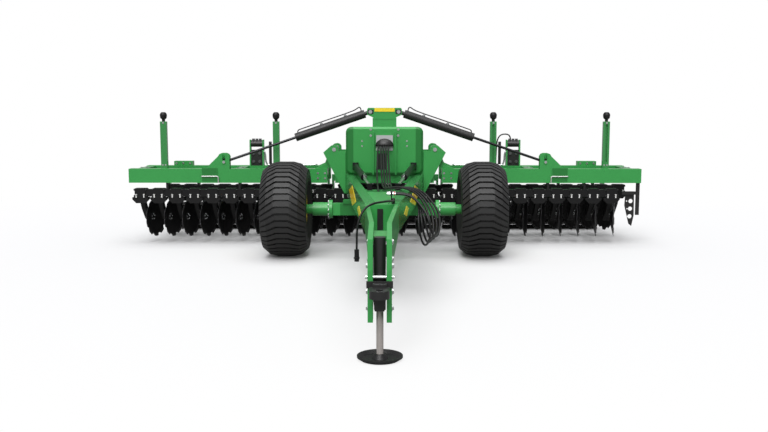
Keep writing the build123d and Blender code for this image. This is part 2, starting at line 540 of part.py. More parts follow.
# Wing frames
for side, s in SIDES:
    def ear(y):
        """The hinge ear from a tube's inner end up to the wing pin."""
        across(tuple((s * x, z) for x, z in (
            (WING_IN, TUBE_Z0), (WING_IN + 180, TUBE_Z0), (WING_IN + 180, TUBE_Z1), (WING_IN + 40,
            TUBE_Z1 + 60),
            (HINGE_X + EAR_R, HINGE_Z), (HINGE_X - EAR_R, HINGE_Z), (HINGE_X - 40, HINGE_Z - 60),
            (HINGE_X + 40, TUBE_Z1 + 60), (WING_IN, TUBE_Z1))), y, y + EAR_T)
        rod((s * HINGE_X, y, HINGE_Z), (s * HINGE_X, y + EAR_T, HINGE_Z), EAR_R)
        rod((s * HINGE_X, y - 1, HINGE_Z), (s * HINGE_X, y + EAR_T + 1, HINGE_Z), PIN_R + RUN,
            mode=Mode.SUBTRACT)

    with BuildPart() as front_tube:
        span((s * WING_IN, s * WING_OUT), (FRONT_Y, FRONT_Y + TUBE_D), (TUBE_Z0, TUBE_Z1))
        ear(EAR_Y[0])
        hang(f"wing_{side}", "front")
        for y in (CYL_Y - LUG_GAP / 2 - PLATE_T, CYL_Y + LUG_GAP / 2):
            across(tuple((s * x, z) for x, z in (
                (ROD_X - 80, TUBE_Z1), (ROD_X - 80, EAR_TOP - 45), (ROD_X - 62, EAR_TOP - 14), (ROD_X - 30,
                EAR_TOP),
                (ROD_X + 30, EAR_TOP), (ROD_X + 62, EAR_TOP - 14), (ROD_X + 80, EAR_TOP - 45),
                (ROD_X + 210, TUBE_Z1 + 50), (ROD_X + 230, TUBE_Z1))), y, y + PLATE_T)
            for x0, z0, x1, z1 in ((ROD_X - 22, EAR_TOP - 84, ROD_X + 22, EAR_TOP - 34),)[:y < CYL_Y]:
                span((s * x0, s * x1), (y, y + PLATE_T), (z0, z1), mode=Mode.SUBTRACT)
                for z in (z0, z1):
                    rod((s * ROD_X, y - 1, z), (s * ROD_X, y + PLATE_T + 1, z), (x1 - x0) / 2,
                        mode=Mode.SUBTRACT)
        for y in (CYL_Y - LUG_GAP / 2 - PLATE_T - 10, CYL_Y + LUG_GAP / 2 + PLATE_T):
            rod((s * ROD_X, y, ROD_Z), (s * ROD_X, y + 10, ROD_Z), PIN_R)
        span((s * (SADDLE_X - 110), s * (SADDLE_X + 110)), (FRONT_Y - 12, FRONT_Y), (TUBE_Z0, TUBE_Z1 + 12))
        span((s * (SADDLE_X - 110), s * (SADDLE_X + 110)), (FRONT_Y - 12, FRONT_Y + 18), (TUBE_Z1,
            TUBE_Z1 + 12))
    save(front_tube.part, f"wing_{side}_front_tube")

    with BuildPart() as rear_tube:
        span((s * WING_IN, s * (WING_OUT - 60)), (REAR_Y, REAR_Y + TUBE_D), (TUBE_Z0, TUBE_Z1))
        ear(EAR_Y[1])
        hang(f"wing_{side}", "rear")
        span((s * (PAD_X - PAD_HALF), s * (PAD_X + PAD_HALF)), (REAR_Y + 20, REAR_Y + 140), (TUBE_Z1,
            TUBE_Z1 + 66))
        for x in (UNIT_X - UNIT_HALF - PLATE_T, UNIT_X + UNIT_HALF):
            along(((REAR_Y + 20, TUBE_Z1), (REAR_Y + 130, TUBE_Z1), (REAR_Y + 110, UNIT_Z + 60),
                (REAR_Y + 40, UNIT_Z + 60)),
                  s * x, s * (x + PLATE_T))
    save(rear_tube.part, f"wing_{side}_rear_tube")

    with BuildPart() as hydraulic:
        rod((s * (UNIT_X - UNIT_HALF), REAR_Y + 75, UNIT_Z), (s * (UNIT_X + UNIT_HALF), REAR_Y + 75,
            UNIT_Z), 46)
        span((s * (UNIT_X - UNIT_HALF), s * (UNIT_X + UNIT_HALF)), (REAR_Y + 35, REAR_Y + 115),
             (TUBE_Z1, UNIT_Z - 90))
    save(hydraulic.part, f"wing_{side}_hydraulic")

    with BuildPart() as ribs:
        for x in (880.0, 2060.0, 3440.0):
            span((s * (x - 60), s * (x + 60)), (FRONT_Y + TUBE_D, REAR_Y), (TUBE_Z0 + 15, TUBE_Z1 - 5))
    save(ribs.part, f"wing_{side}_ribs")

    post_y = FRONT_Y + TUBE_D
    with BuildPart() as posts:
        for x in POSTS:
            span((s * (x - POST_W / 2), s * (x + POST_W / 2)), (post_y, post_y + POST_D), (TUBE_Z0 + 20,
                POST_TOP))
            face = post_y if s > 0 else post_y + POST_D
            inner = face + s * (POST_D - POST_WALL)
            span((s * x - POST_W / 2 + POST_WALL, s * x + POST_W / 2 - POST_WALL), (face, inner),
                 (TUBE_Z1 + 90, POST_TOP - 40), mode=Mode.SUBTRACT)
    save(posts.part, f"wing_{side}_posts")
    with BuildPart() as bumpers:
        for x in POSTS:
            spot = (s * x, post_y + POST_D / 2, 0)
            with BuildSketch(Plane(origin=spot, x_dir=(1, 0, 0), z_dir=(0, -1, 0))):
                with BuildLine():
                    Polyline((0, POST_TOP), (NECK_R, POST_TOP), (NECK_R, POST_TOP + 28),
                             (BUMPER_R - 6, POST_TOP + 46), (BUMPER_R, POST_TOP + 76),
                             (BUMPER_R, BUMPER_TOP - 34), (BUMPER_R - 10, BUMPER_TOP - 12),
                             (BUMPER_R - 26, BUMPER_TOP), (0, BUMPER_TOP), close=True)
                make_face()
            revolve(axis=Axis(spot, (0, 0, 1)))
    save(bumpers.part, f"wing_{side}_bumpers")

# End shield on the right wing's outer end
with BuildPart() as end_shield:
    span((WING_OUT - 45, WING_OUT), (FRONT_Y + 60, FRONT_Y + 100), (430, TUBE_Z0))
    span((WING_OUT - 245, WING_OUT - 45), (FRONT_Y + 60, FRONT_Y + 100), (716, 760))
    across(((WING_OUT - 185, 760), (WING_OUT - 65, 760), (WING_OUT - 60, 420), (WING_OUT - 90, 268),
        (WING_OUT - 130, 300),
            (WING_OUT - 195, 560)), FRONT_Y + 100, FRONT_Y + 112)
    for k in range(3):
        for x, r in ((-110.0 - 4 * k, 30.0), (-165.0 + 10 * k, 10.0)):
            z = 622.0 - 108 * k
            rod((WING_OUT + x, FRONT_Y + 99, z), (WING_OUT + x, FRONT_Y + 113, z), r, mode=Mode.SUBTRACT)
save(end_shield.part, "end_shield")

# Hose rack on the tongue, with one parked coupler for each hose, and the clip for the lighting harness
with BuildPart() as hose_rack:
    span((RACK_X - 6, RACK_X + 6), (RACK_Y - RACK_STEP * (HOSES - 1) - 32, RACK_Y + 32), (TONGUE_Z1,
        RACK_Z + 30))
    for k in range(HOSES):
        y = RACK_Y - RACK_STEP * k
        rod((COUPLER_IN, y, RACK_Z), (COUPLER_OUT, y, RACK_Z), HOSE_R + 4)
    span((96, 124), (BEAM_FRONT_Y + 40, BEAM_FRONT_Y + 70), (TONGUE_Z1, HARNESS_Z + 16))
save(hose_rack.part, "hose_rack")


def corner_radii(points, share=0.45):
    """The largest arc at each corner that leaves a short straight run either side."""
    radii = []
    for before, here, after in zip(points, points[1:], points[2:]):
        one, two = Vector(*here) - Vector(*before), Vector(*after) - Vector(*here)
        turn = radians(one.get_angle(two))
        radii.append(share * min(one.length, two.length) / tan(turn / 2))
    return radii


def cord(name, points, radius):
    """A free hose or cable: straight runs and tangent arcs through its hand-chosen points."""
    with BuildPart() as tube:
        with BuildLine() as route:
            FilletPolyline(*points, radius=corner_radii(points))
        with BuildSketch(Plane(origin=points[0], z_dir=Vector(*points[1]) - Vector(*points[0]))) as section:
            Circle(radius)
        sweep(section.sketch, path=route.wire())
    print(name, "length", round(route.wire().length), "least radius", round(min(corner_radii(points))))
    save(tube.part, name)


# Each loop hose rests on the cross member, goes over the right beam, hangs, and comes back up to the rack
for k in range(HOSES):
    x, lag, drop, swell = HOSE_X + HOSE_STEP * k, RACK_STEP * k, LOOP_DROP * k, LOOP_SWELL * k
    end = RACK_Y - lag
    cord(f"hose_{k + 1}", (
        (x, FRONT_Y - PANEL_D - FITTING, HOSE_Z), (x, AXLE_Y + 530, HOSE_Z), (x + 4, AXLE_Y + 290,
        HOSE_Z - 95),
        (x + 10, AXLE_Y + 50, HOSE_Z - 225), (x + 18, AXLE_Y - 200, HOSE_Z - 340), (x + 28, AXLE_Y - 470,
        HOSE_Z - 410),
        (x + 42, AXLE_Y - 750, HOSE_Z - 432), (x + 66, AXLE_Y - 1040, HOSE_Z - 422), (x + 110,
        AXLE_Y - 1320, HOSE_Z - 392),
        (x + 180, AXLE_Y - 1570, HOSE_Z - 358), (x + 280, AXLE_Y - 1780, HOSE_Z - 348),
        (x + 390, AXLE_Y - 1950, HOSE_Z - 378), (x + 485 - swell, AXLE_Y - 2090, HOSE_Z - 475),
        (x + 540 - swell, AXLE_Y - 2220 - lag * 0.3, HOSE_Z - 620 + drop * 0.6),
        (x + 545 - swell, AXLE_Y - 2370 - lag * 0.7, HOSE_Z - 760 + drop),
        (x + 515 - swell, AXLE_Y - 2540 - lag, HOSE_Z - 845 + drop), (x + 465 - swell, AXLE_Y - 2710 - lag,
        HOSE_Z - 845 + drop),
        (x + 425 - swell, end - 165, HOSE_Z - 745 + drop), (x + 400 - swell, end - 145,
        HOSE_Z - 590 + drop * 0.6),
        (370 + 8 * k, end - 60, HOSE_Z - 450), (312, end - 10, HOSE_Z - 355), (214, end, RACK_Z),
        (COUPLER_OUT, end, RACK_Z)), HOSE_R)

# The middle hose goes down between the tongue beams and into the nose
cord("hose_middle", (
    (MID_X, FRONT_Y - PANEL_D - FITTING, HOSE_Z), (MID_X, AXLE_Y + 530, HOSE_Z), (MID_X - 6,
    AXLE_Y + 290, HOSE_Z - 100),
    (MID_X - 8, AXLE_Y + 50, HOSE_Z - 230), (MID_X - 4, AXLE_Y - 200, HOSE_Z - 345), (MID_X + 4,
    AXLE_Y - 470, HOSE_Z - 412),
    (MID_X + 14, AXLE_Y - 730, HOSE_Z - 434), (MID_X + 24, AXLE_Y - 1010, HOSE_Z - 466),
    (MID_X + 33, AXLE_Y - 1310, HOSE_Z - 515), (MID_X + 41, AXLE_Y - 1610, HOSE_Z - 548),
    (MID_X + 48, AXLE_Y - 1910, HOSE_Z - 560), (MID_X + 54, AXLE_Y - 2210, HOSE_Z - 554),
    (MID_X + 59, AXLE_Y - 2510, HOSE_Z - 528), (MID_X + 62, AXLE_Y - 2780, MID_Z), (MID_X + 62,
    BEAM_FRONT_Y, MID_Z)),
    HOSE_R)

# Lighting harness over the nose, with its plug hanging on the left
HARNESS_END = (-226.0, AXLE_Y - 3462.0, 640.0)
cord("harness", (
    (110, BEAM_FRONT_Y + 40, HARNESS_Z), (110, BEAM_FRONT_Y - 60, HARNESS_Z), (72, BEAM_FRONT_Y - 165,
    HARNESS_Z + 12),
    (10, BEAM_FRONT_Y - 260, HARNESS_Z + 14), (-74, BEAM_FRONT_Y - 335, HARNESS_Z + 10),
    (-150, BEAM_FRONT_Y - 395, HARNESS_Z - 24), (-200, BEAM_FRONT_Y - 436, HARNESS_Z - 105),
    (-222, BEAM_FRONT_Y - 456, HARNESS_Z - 208), (-226, BEAM_FRONT_Y - 462, HARNESS_Z - 305),
    HARNESS_END), HARNESS_R)
with BuildPart() as harness_plug:
    low = HARNESS_END[2] - PLUG_L
    rod((HARNESS_END[0], HARNESS_END[1], low), HARNESS_END, PLUG_R)
    rod((HARNESS_END[0], HARNESS_END[1], low + 26), (HARNESS_END[0], HARNESS_END[1], low + 38), PLUG_R + 6)
save(harness_plug.part, "harness_plug")
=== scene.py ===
import logging
import math
from collections import defaultdict
from dataclasses import dataclass
from enum import Enum
from typing import Any, Iterable, Optional, Sequence

import bmesh
import bpy
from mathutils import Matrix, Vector


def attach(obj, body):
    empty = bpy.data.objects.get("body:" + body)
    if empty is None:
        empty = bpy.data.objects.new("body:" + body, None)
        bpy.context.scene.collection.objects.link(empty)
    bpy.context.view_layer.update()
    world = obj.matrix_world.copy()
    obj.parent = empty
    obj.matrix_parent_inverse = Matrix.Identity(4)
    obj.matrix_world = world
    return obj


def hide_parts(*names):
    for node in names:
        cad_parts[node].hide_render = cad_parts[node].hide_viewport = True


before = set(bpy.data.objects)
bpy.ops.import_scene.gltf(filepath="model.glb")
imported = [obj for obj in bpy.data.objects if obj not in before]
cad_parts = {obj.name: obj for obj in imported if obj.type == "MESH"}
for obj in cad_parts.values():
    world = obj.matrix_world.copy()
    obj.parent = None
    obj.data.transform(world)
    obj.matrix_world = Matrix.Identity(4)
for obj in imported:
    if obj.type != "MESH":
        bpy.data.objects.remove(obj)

LOG = logging.getLogger("disc_harrow")
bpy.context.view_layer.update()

Tree = bpy.types.NodeTree
Thing = bpy.types.Object
Shape = bmesh.types.BMesh
Point = tuple[float, float, float]
Pairs = tuple[tuple[float, float], ...]
Colour = tuple[float, float, float]
Spot = tuple[Point, Point, float]  # place, facing and size of one small form

# The frame's own lines, in metres, as the solids have them
AXLE_Y = 1.095
FRONT_Y = AXLE_Y + 0.85  # front faces of the front tubes
REAR_Y = AXLE_Y + 1.55  # front faces of the rear tubes
TUBE_Z0, TUBE_Z1, TUBE_D = 0.885, 1.08, 0.15
TONGUE_TOP = 1.005
BEAM_FRONT_Y = AXLE_Y - 3.0
BEAM_X, BEAM_SPREAD = 0.16, 0.38  # the beams' outer faces in front, and what they gain up to FRONT_Y
JACK_Y = AXLE_Y - 4.79
PANEL_FACE = FRONT_Y - 0.06
CYLINDER_X, CYLINDER_Y, CYLINDER_Z = 0.195, FRONT_Y + 0.05, 1.87  # the fold cylinders' pins on the mast
HEAD_FACE = CYLINDER_Y - 0.05
EYE_X, EYE_Z = 2.24, 1.175  # the fold cylinders' pins on the wings
SADDLE_X0, SADDLE_X1 = 2.334, 2.546
RACK_Y, RACK_Z, RACK_STEP = AXLE_Y - 2.64, 1.078, 0.036  # the parked couplers
UNIT_X = 1.89  # the wings' hydraulic units
POST_X = (1.525, 3.11)
WHEEL_X, WHEEL_R = 1.27, 0.616
FAR = 9.0  # past every end of the machine
SIDES: tuple[tuple[str, int], ...] = (("left", -1), ("right", 1))
AHEAD: Point = (0, -1, 0)
BEHIND: Point = (0, 1, 0)
UP: Point = (0, 0, 1)
DOWN: Point = (0, 0, -1)

# The surface detail that all finishes share: noise per metre, and how much each one tells
CLOUD_SCALE, CLOUD_DETAIL = 2.3, 4.0
SPECK_SCALE, SPECK_DETAIL = 46.0, 3.0
GRAIN_DETAIL, NOISE_ROUGHNESS = 2.0, 0.55
CLOUD_SHARE, SPECK_SHARE = 0.6, 0.4
ROUGH_SPECK, ROUGH_CLOUD, ZONE_SPECK = 0.16, 0.1, 0.12
BUMP_GRAIN, BUMP_SPECK, BUMP_DEPTH = 0.6, 0.4, 0.004
WEAR_LEAST, WEAR_SPECK = 0.6, 0.7
COAT_ROUGHNESS = 0.12
DUST_TOP, DUST_RATE, DUST_ROUGH, DUST_TONE = 0.75, 0.9, 0.4, (0.34, 0.31, 0.27, 1)
PATCH_GAIN, PATCH_LOSS = 1.6, 0.35  # how the clouds break the dust into patches


class Body(str, Enum):
    """The bodies that added pieces ride on."""

    CHASSIS = "chassis"
    WING_LEFT = "wing_left"
    WING_RIGHT = "wing_right"
    WHEEL_LEFT = "wheel_left"
    WHEEL_RIGHT = "wheel_right"
    BARREL_LEFT = "fold_barrel_left"
    BARREL_RIGHT = "fold_barrel_right"


def add_node(tree: Tree, kind: str, settings: Optional[dict[str, Any]] = None,
             inputs: Optional[dict[Any, Any]] = None) -> bpy.types.Node:
    """Adds one node to a tree, sets it up, and then fills or links its sockets.

    Args:
        tree: the shader or geometry tree.
        kind: the node's type name.
        settings: properties that are set first.
        inputs: values, sockets or wrapped sockets by input name or index.
    Returns:
        The new node.
    """
    node = tree.nodes.new(kind)
    for key, value in (settings or {}).items():
        setattr(node, key, value)
    fill(tree, node, inputs or {})
    return node


def fill(tree: Tree, node: bpy.types.Node, inputs: dict[Any, Any]) -> None:
    """Sets or links a node's input sockets.

    Args:
        tree: the node's tree.
        node: the node.
        inputs: values, sockets or wrapped sockets by input name or index.
    """
    for key, value in inputs.items():
        source = value.socket if isinstance(value, Sock) else value
        if isinstance(source, bpy.types.NodeSocket):
            tree.links.new(source, node.inputs[key])
        else:
            node.inputs[key].default_value = source


class Sock:
    """A wrapped value socket, so that shader maths reads as an expression."""

    def __init__(self, tree: Tree, socket: bpy.types.NodeSocket) -> None:
        """Keeps the tree and the socket."""
        self.tree, self.socket = tree, socket

    def math(self, operation: str, *others: Any, flip: bool = False) -> "Sock":
        """Adds one Math node on this value.

        Args:
            operation: the Math node's operation.
            others: the other operands, numbers or wrapped sockets.
            flip: puts this value second, for a reflected operator.
        Returns:
            The result, wrapped.
        """
        values = [*others, self] if flip else [self, *others]
        node = add_node(self.tree, "ShaderNodeMath", {"operation": operation}, dict(enumerate(values)))
        return Sock(self.tree, node.outputs[0])

    def __add__(self, other: Any) -> "Sock":
        """Sum."""
        return self.math("ADD", other)

    __radd__ = __add__

    def __mul__(self, other: Any) -> "Sock":
        """Product."""
        return self.math("MULTIPLY", other)

    __rmul__ = __mul__

    def __sub__(self, other: Any) -> "Sock":
        """Difference."""
        return self.math("SUBTRACT", other)

    def __rsub__(self, other: Any) -> "Sock":
        """Difference, with this value taken away."""
        return self.math("SUBTRACT", other, flip=True)

    def __truediv__(self, other: Any) -> "Sock":
        """Quotient."""
        return self.math("DIVIDE", other)

    def __gt__(self, other: Any) -> "Sock":
        """1 where this value is larger."""
        return self.math("GREATER_THAN", other)

    def __lt__(self, other: Any) -> "Sock":
        """1 where this value is smaller."""
        return self.math("LESS_THAN", other)

    def clamp(self) -> "Sock":
        """The value held between 0 and 1."""
        return self.math("MAXIMUM", 0.0).math("MINIMUM", 1.0)


def seen_by_eye(tree: Tree) -> Sock:
    """1 for what the camera sees, straight or through glass, and 0 for light that bounces."""
    path = add_node(tree, "ShaderNodeLightPath").outputs
    return (Sock(tree, path["Is Camera Ray"]) + Sock(tree, path["Is Transmission Ray"])).clamp()


@dataclass(frozen=True)
class Zone:
    """A stretch of a solid with another finish, or with a darker colour that paints shade: a box mirrored
    across the machine, or a pin along Y.

    A pin has a radius, and its centre is the middle of the box in X and Z.
    """

    low: Point
    high: Point
    colour: Colour
    roughness: float = 0.3
    metallic: float = 1.0
    radius: float = 0.0

    def mask(self, axes: Sequence[Sock]) -> Sock:
        """1 inside the zone.

        Args:
            axes: distance from the middle line, and the Y and Z coordinates.
        Returns:
            The mask.
        """
        out: Optional[Sock] = None
        for axis, low, high in zip(axes, self.low, self.high):
            part = (axis > low) * (axis < high)
            out = part if out is None else out * part
        if self.radius:
            across = axes[0] - (self.low[0] + self.high[0]) / 2
            up = axes[2] - (self.low[2] + self.high[2]) / 2
            out = out * ((across * across + up * up) < self.radius ** 2)
        return out


@dataclass(frozen=True)
class Finish:
    """One surface finish, made into a procedural material."""

    name: str
    colour: Colour
    roughness: float = 0.4
    metallic: float = 0.0
    coat: float = 0.0
    mottle: float = 0.16
    grain: float = 420.0
    bump: float = 0.05
    dust: float = 0.0
    emission: float = 0.0
    specular: float = 0.5
    attribute: str = ""
    edge: Colour = (0.3, 0.3, 0.3)
    zones: tuple[Zone, ...] = ()

    def material(self) -> bpy.types.Material:
        """Builds the material, or gives the one that was built before.

        Returns:
            The material.
        """
        found = bpy.data.materials.get(self.name)
        if found:
            return found
        made = bpy.data.materials.new(self.name)
        made.use_nodes = True
        tree = made.node_tree
        place = add_node(tree, "ShaderNodeTexCoord").outputs["Object"]
        split = add_node(tree, "ShaderNodeSeparateXYZ", None, {0: place})
        x, y, z = (Sock(tree, split.outputs[k]) for k in range(3))
        cloud, speck, grit = (self.noise(tree, place, scale, detail) for scale, detail in (
            (CLOUD_SCALE, CLOUD_DETAIL), (SPECK_SCALE, SPECK_DETAIL), (self.grain, GRAIN_DETAIL)))
        low = tuple(c * (1 - self.mottle) for c in self.colour) + (1,)
        high = tuple(min(1.0, c * (1 + self.mottle)) for c in self.colour) + (1,)
        colour = self.mix(tree, cloud * CLOUD_SHARE + speck * SPECK_SHARE, low, high)
        rough = speck * ROUGH_SPECK + cloud * ROUGH_CLOUD + (self.roughness - (ROUGH_SPECK + ROUGH_CLOUD) / 2)
        if self.dust:
            patches = (cloud * PATCH_GAIN - PATCH_LOSS).clamp()
            film = ((DUST_TOP - z) * DUST_RATE).clamp() * patches * self.dust
            colour = self.mix(tree, film, colour, DUST_TONE)
            rough = rough + film * DUST_ROUGH
        if self.attribute:
            mark = add_node(tree, "ShaderNodeAttribute", {"attribute_name": self.attribute}).outputs["Fac"]
            worn = (Sock(tree, mark) * (speck * WEAR_SPECK + WEAR_LEAST)).clamp()
            colour = self.mix(tree, worn, colour, (*self.edge, 1))
        metal: Any = self.metallic
        for zone in self.zones:
            inside = zone.mask((x.math("ABSOLUTE"), y, z))
            colour = self.mix(tree, inside, colour, (*zone.colour, 1))
            rough = rough * (1 - inside) + inside * (speck * ZONE_SPECK + zone.roughness)
            metal = inside * zone.metallic + (1 - inside) * metal
        bump = add_node(tree, "ShaderNodeBump", None, {
            "Strength": self.bump, "Distance": BUMP_DEPTH, "Height": grit * BUMP_GRAIN + speck * BUMP_SPECK})
        fill(tree, tree.nodes["Principled BSDF"], {
            "Base Color": colour, "Roughness": rough.clamp(), "Metallic": metal, "Normal": bump.outputs[0],
            "Coat Weight": self.coat, "Coat Roughness": COAT_ROUGHNESS, "Specular IOR Level": self.specular})
        if self.emission:
            fill(tree, tree.nodes["Principled BSDF"], {
                "Emission Color": (*self.colour, 1), "Emission Strength": self.emission})
        return made

    @staticmethod
    def noise(tree: Tree, place: bpy.types.NodeSocket, scale: float, detail: float) -> Sock:
        """A noise pattern at one scale, per metre."""
        node = add_node(tree, "ShaderNodeTexNoise", None, {
            "Vector": place, "Scale": scale, "Detail": detail, "Roughness": NOISE_ROUGHNESS})
        return Sock(tree, node.outputs[0])

    @staticmethod
    def mix(tree: Tree, factor: Any, one: Any, two: Any) -> Sock:
        """A colour between two others."""
        node = add_node(tree, "ShaderNodeMix", {"data_type": "RGBA"}, {"Factor": factor, 6: one, 7: two})
        return Sock(tree, node.outputs[2])


GREEN_TONE: Colour = (0.035, 0.283, 0.063)
# Painted shade: a darker green put where the green paint lies in shade
PAINTED_SHADE_GREEN: Colour = (0.011, 0.160, 0.027)
BLACK_TONE: Colour = (0.005, 0.005, 0.0055)
ZINC_TONE: Colour = (0.62, 0.63, 0.64)
CHROME_TONE: Colour = (0.74, 0.75, 0.76)
BOARD_TONE: Colour = (0.42, 0.43, 0.44)


def pin(x: float, z: float, radius: float = 0.027) -> Zone:
    """A bright pin along Y at a distance from the middle line and a height."""
    reach = radius + 0.01
    return Zone((x - reach, -FAR, z - reach), (x + reach, FAR, z + reach), ZINC_TONE, 0.25, 1.0, radius)


def paint(name: str, *zones: Zone) -> Finish:
    """The green gloss paint, with the zones of one piece."""
    return Finish(name, GREEN_TONE, 0.34, coat=0.18, mottle=0.12, grain=300.0, bump=0.02, dust=0.05,
                  specular=0.35, zones=zones)


def black(name: str, *zones: Zone, rough: float = 0.38) -> Finish:
    """The black satin paint, with the zones of one piece."""
    return Finish(name, BLACK_TONE, rough, coat=0.04, mottle=0.25, grain=360.0, bump=0.04, dust=0.05,
                  specular=0.25, zones=zones)


GREEN = paint("green_paint")
BLACK = black("black_paint")
GANG_BLACK = black("gang_black", rough=0.42)
BLADE = Finish("blade_black", (0.007, 0.007, 0.008), 0.4, 0.1, mottle=0.3, grain=240.0, bump=0.06, dust=0.07,
               specular=0.25, attribute="rim", edge=(0.07, 0.07, 0.075))
TYRE = Finish("tyre_rubber", (0.016, 0.016, 0.0165), 0.5, mottle=0.3, grain=190.0, bump=0.12, dust=0.05,
              specular=0.4)
RUBBER = Finish("bumper_rubber", (0.007, 0.007, 0.0075), 0.5, mottle=0.25, grain=260.0, bump=0.1, specular=0.3)
HOSE = Finish("hose_rubber", (0.006, 0.006, 0.0065), 0.38, coat=0.05, mottle=0.25, grain=640.0, bump=0.1,
              specular=0.3)
RIM = Finish("rim_yellow", (0.82, 0.52, 0.012), 0.3, coat=0.3, mottle=0.08, grain=300.0, bump=0.02, dust=0.06)
ROD = Finish("dark_rod", (0.045, 0.045, 0.048), 0.24, 1.0, mottle=0.1, grain=700.0, bump=0.01)
ZINC = Finish("bright_zinc", ZINC_TONE, 0.28, 1.0, mottle=0.1, grain=500.0, bump=0.04)
STEEL = Finish("dark_steel", (0.16, 0.16, 0.165), 0.38, 1.0, mottle=0.15, grain=500.0, bump=0.04)
STUD = Finish("stud_zinc", (0.84, 0.84, 0.83), 0.3, 0.2, mottle=0.05, grain=500.0, bump=0.03)
PALE = Finish("pale_bar", (0.56, 0.58, 0.56), 0.35, 0.6, mottle=0.08, grain=320.0, bump=0.03)
# The reflectors' emission is painted light: a faint glow that stands in for the light they throw back
AMBER_PAINTED_GLOW = Finish("amber_reflector_painted_glow", (0.92, 0.60, 0.015), 0.2, coat=0.3, mottle=0.3, grain=130.0, bump=0.2,
               emission=0.12)
YELLOW = Finish("yellow_plate", (0.80, 0.62, 0.02), 0.34, coat=0.2, mottle=0.06, grain=300.0, bump=0.02)
RED = Finish("red_band", (0.50, 0.02, 0.018), 0.4, coat=0.1, mottle=0.1, grain=300.0, bump=0.03)
WHITE = Finish("white_band", (0.78, 0.78, 0.76), 0.4, coat=0.1, mottle=0.06, grain=300.0, bump=0.03)

# Solids with more than one finish; the darker green zones are painted shade
HANGERS = Zone((-FAR, -FAR, -FAR), (FAR, FAR, TUBE_Z0 - 0.0005), BLACK_TONE, 0.42, 0.0)
# The axle is painted a darker green inwards of 0.57 m from the middle: painted shade under the machine
AXLE = paint("axle_green_painted_shade", Zone((-FAR, -FAR, -FAR), (0.57, FAR, FAR), PAINTED_SHADE_GREEN, 0.4, 0.0))
# The first zone paints shade: darker green strips at the panel's sides, in place of angled faces; the grey
# board and zinc fittings are the panel's own colours
PANEL = paint("panel_green_painted_shade",
              Zone((0.43, 1.7, 1.006), (0.6, FRONT_Y, 1.7), PAINTED_SHADE_GREEN, 0.34, 0.0),
              Zone((-FAR, 1.7, 1.34), (0.12, PANEL_FACE - 0.001, 1.551), BOARD_TONE, 0.4, 0.1),
              Zone((-FAR, 1.7, 1.3), (0.12, PANEL_FACE - 0.015, 1.45), ZINC_TONE, 0.28, 1.0))
TOWER = paint("tower_green", pin(CYLINDER_X, CYLINDER_Z))
PLATES = paint("hinge_green", pin(0.70, 1.35))
FRAME = paint("frame_green", HANGERS)
# The last zone paints the saddle plates a darker green: painted shade
TUBES = paint("tube_green_painted_shade", HANGERS, pin(EYE_X, EYE_Z, 0.019),
              Zone((SADDLE_X0, -FAR, 0.9), (SADDLE_X1, FRONT_Y - 0.001, 1.1), PAINTED_SHADE_GREEN, 0.4, 0.0))
NOSE = paint("nose_green",
             Zone((0.0925, -FAR, 0.635), (0.2, FAR, 0.675), ZINC_TONE, 0.25),
             Zone((-FAR, JACK_Y - 0.08, 0.641), (0.0515, JACK_Y - 0.05, 0.669), ZINC_TONE, 0.25))
LEVEL = black("level_black", Zone((-FAR, AXLE_Y - 0.68, 0.9), (0.262, FAR, 1.2), CHROME_TONE, 0.18))
LEG = Finish("jack_zinc", (0.40, 0.37, 0.35), 0.45, 0.2, mottle=0.06, grain=420.0, bump=0.03,
             zones=(Zone((-FAR, -FAR, -FAR), (FAR, FAR, 0.047), BLACK_TONE, 0.42, 0.0),))
RACK = black("rack_black", *(Zone((low, -FAR, RACK_Z - 0.0155), (high, FAR, RACK_Z + 0.0155), ZINC_TONE)
                             for low, high in ((-FAR, 0.0835), (0.0985, 0.2))))

# The finish of each solid: the first row whose key is in the solid's name
NODE_FINISH: tuple[tuple[str, Finish], ...] = (
    ("tyre", TYRE), ("rim", RIM), ("_bumpers", RUBBER), ("_blades", BLADE), ("_arms", GANG_BLACK),
    ("fold_rod", ROD), ("fold_barrel", BLACK), ("roller_frame", GREEN), ("_roller", GANG_BLACK),
    ("hitch", BLACK), ("jack_tube", BLACK), ("jack_leg", LEG), ("level_cylinders", LEVEL),
    ("end_shield", BLACK), ("_hydraulic", BLACK), ("hose_rack", RACK), ("hose", HOSE), ("harness", HOSE),
    ("mast_panel", PANEL), ("mast_tower", TOWER), ("hinge_plates", PLATES), ("front_tube", TUBES),
    ("rear_tube", FRAME), ("centre_frame", FRAME), ("tongue_nose", NOSE), ("axle", AXLE), ("", GREEN))


def dress_solids() -> None:
    """Gives every solid of the frame its finish."""
    for name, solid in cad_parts.items():
        finish = next(f for key, f in NODE_FINISH if key in name)
        solid.data.materials.clear()
        solid.data.materials.append(finish.material())
    LOG.info("dressed %d solids", len(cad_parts))


def settle(piece: Thing, body: Body, finish: Finish) -> Thing:
    """Finishes one added piece: its material, and the body it rides on.

    Args:
        piece: a mesh or curve object in place.
        body: the body it moves with.
        finish: its surface.
    Returns:
        The same piece.
    """
    piece.data.materials.clear()
    piece.data.materials.append(finish.material())
    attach(piece, body.value)
    LOG.info("piece %s on %s", piece.name, body.value)
    return piece


def put(name: str, data: Any) -> Thing:
    """Makes an object of mesh, curve, camera or lamp data and links it to the scene.

    Args:
        name: the object's name.
        data: what it shows.
    Returns:
        The new object, at the origin.
    """
    made = bpy.data.objects.new(name, data)
    bpy.context.scene.collection.objects.link(made)
    return made


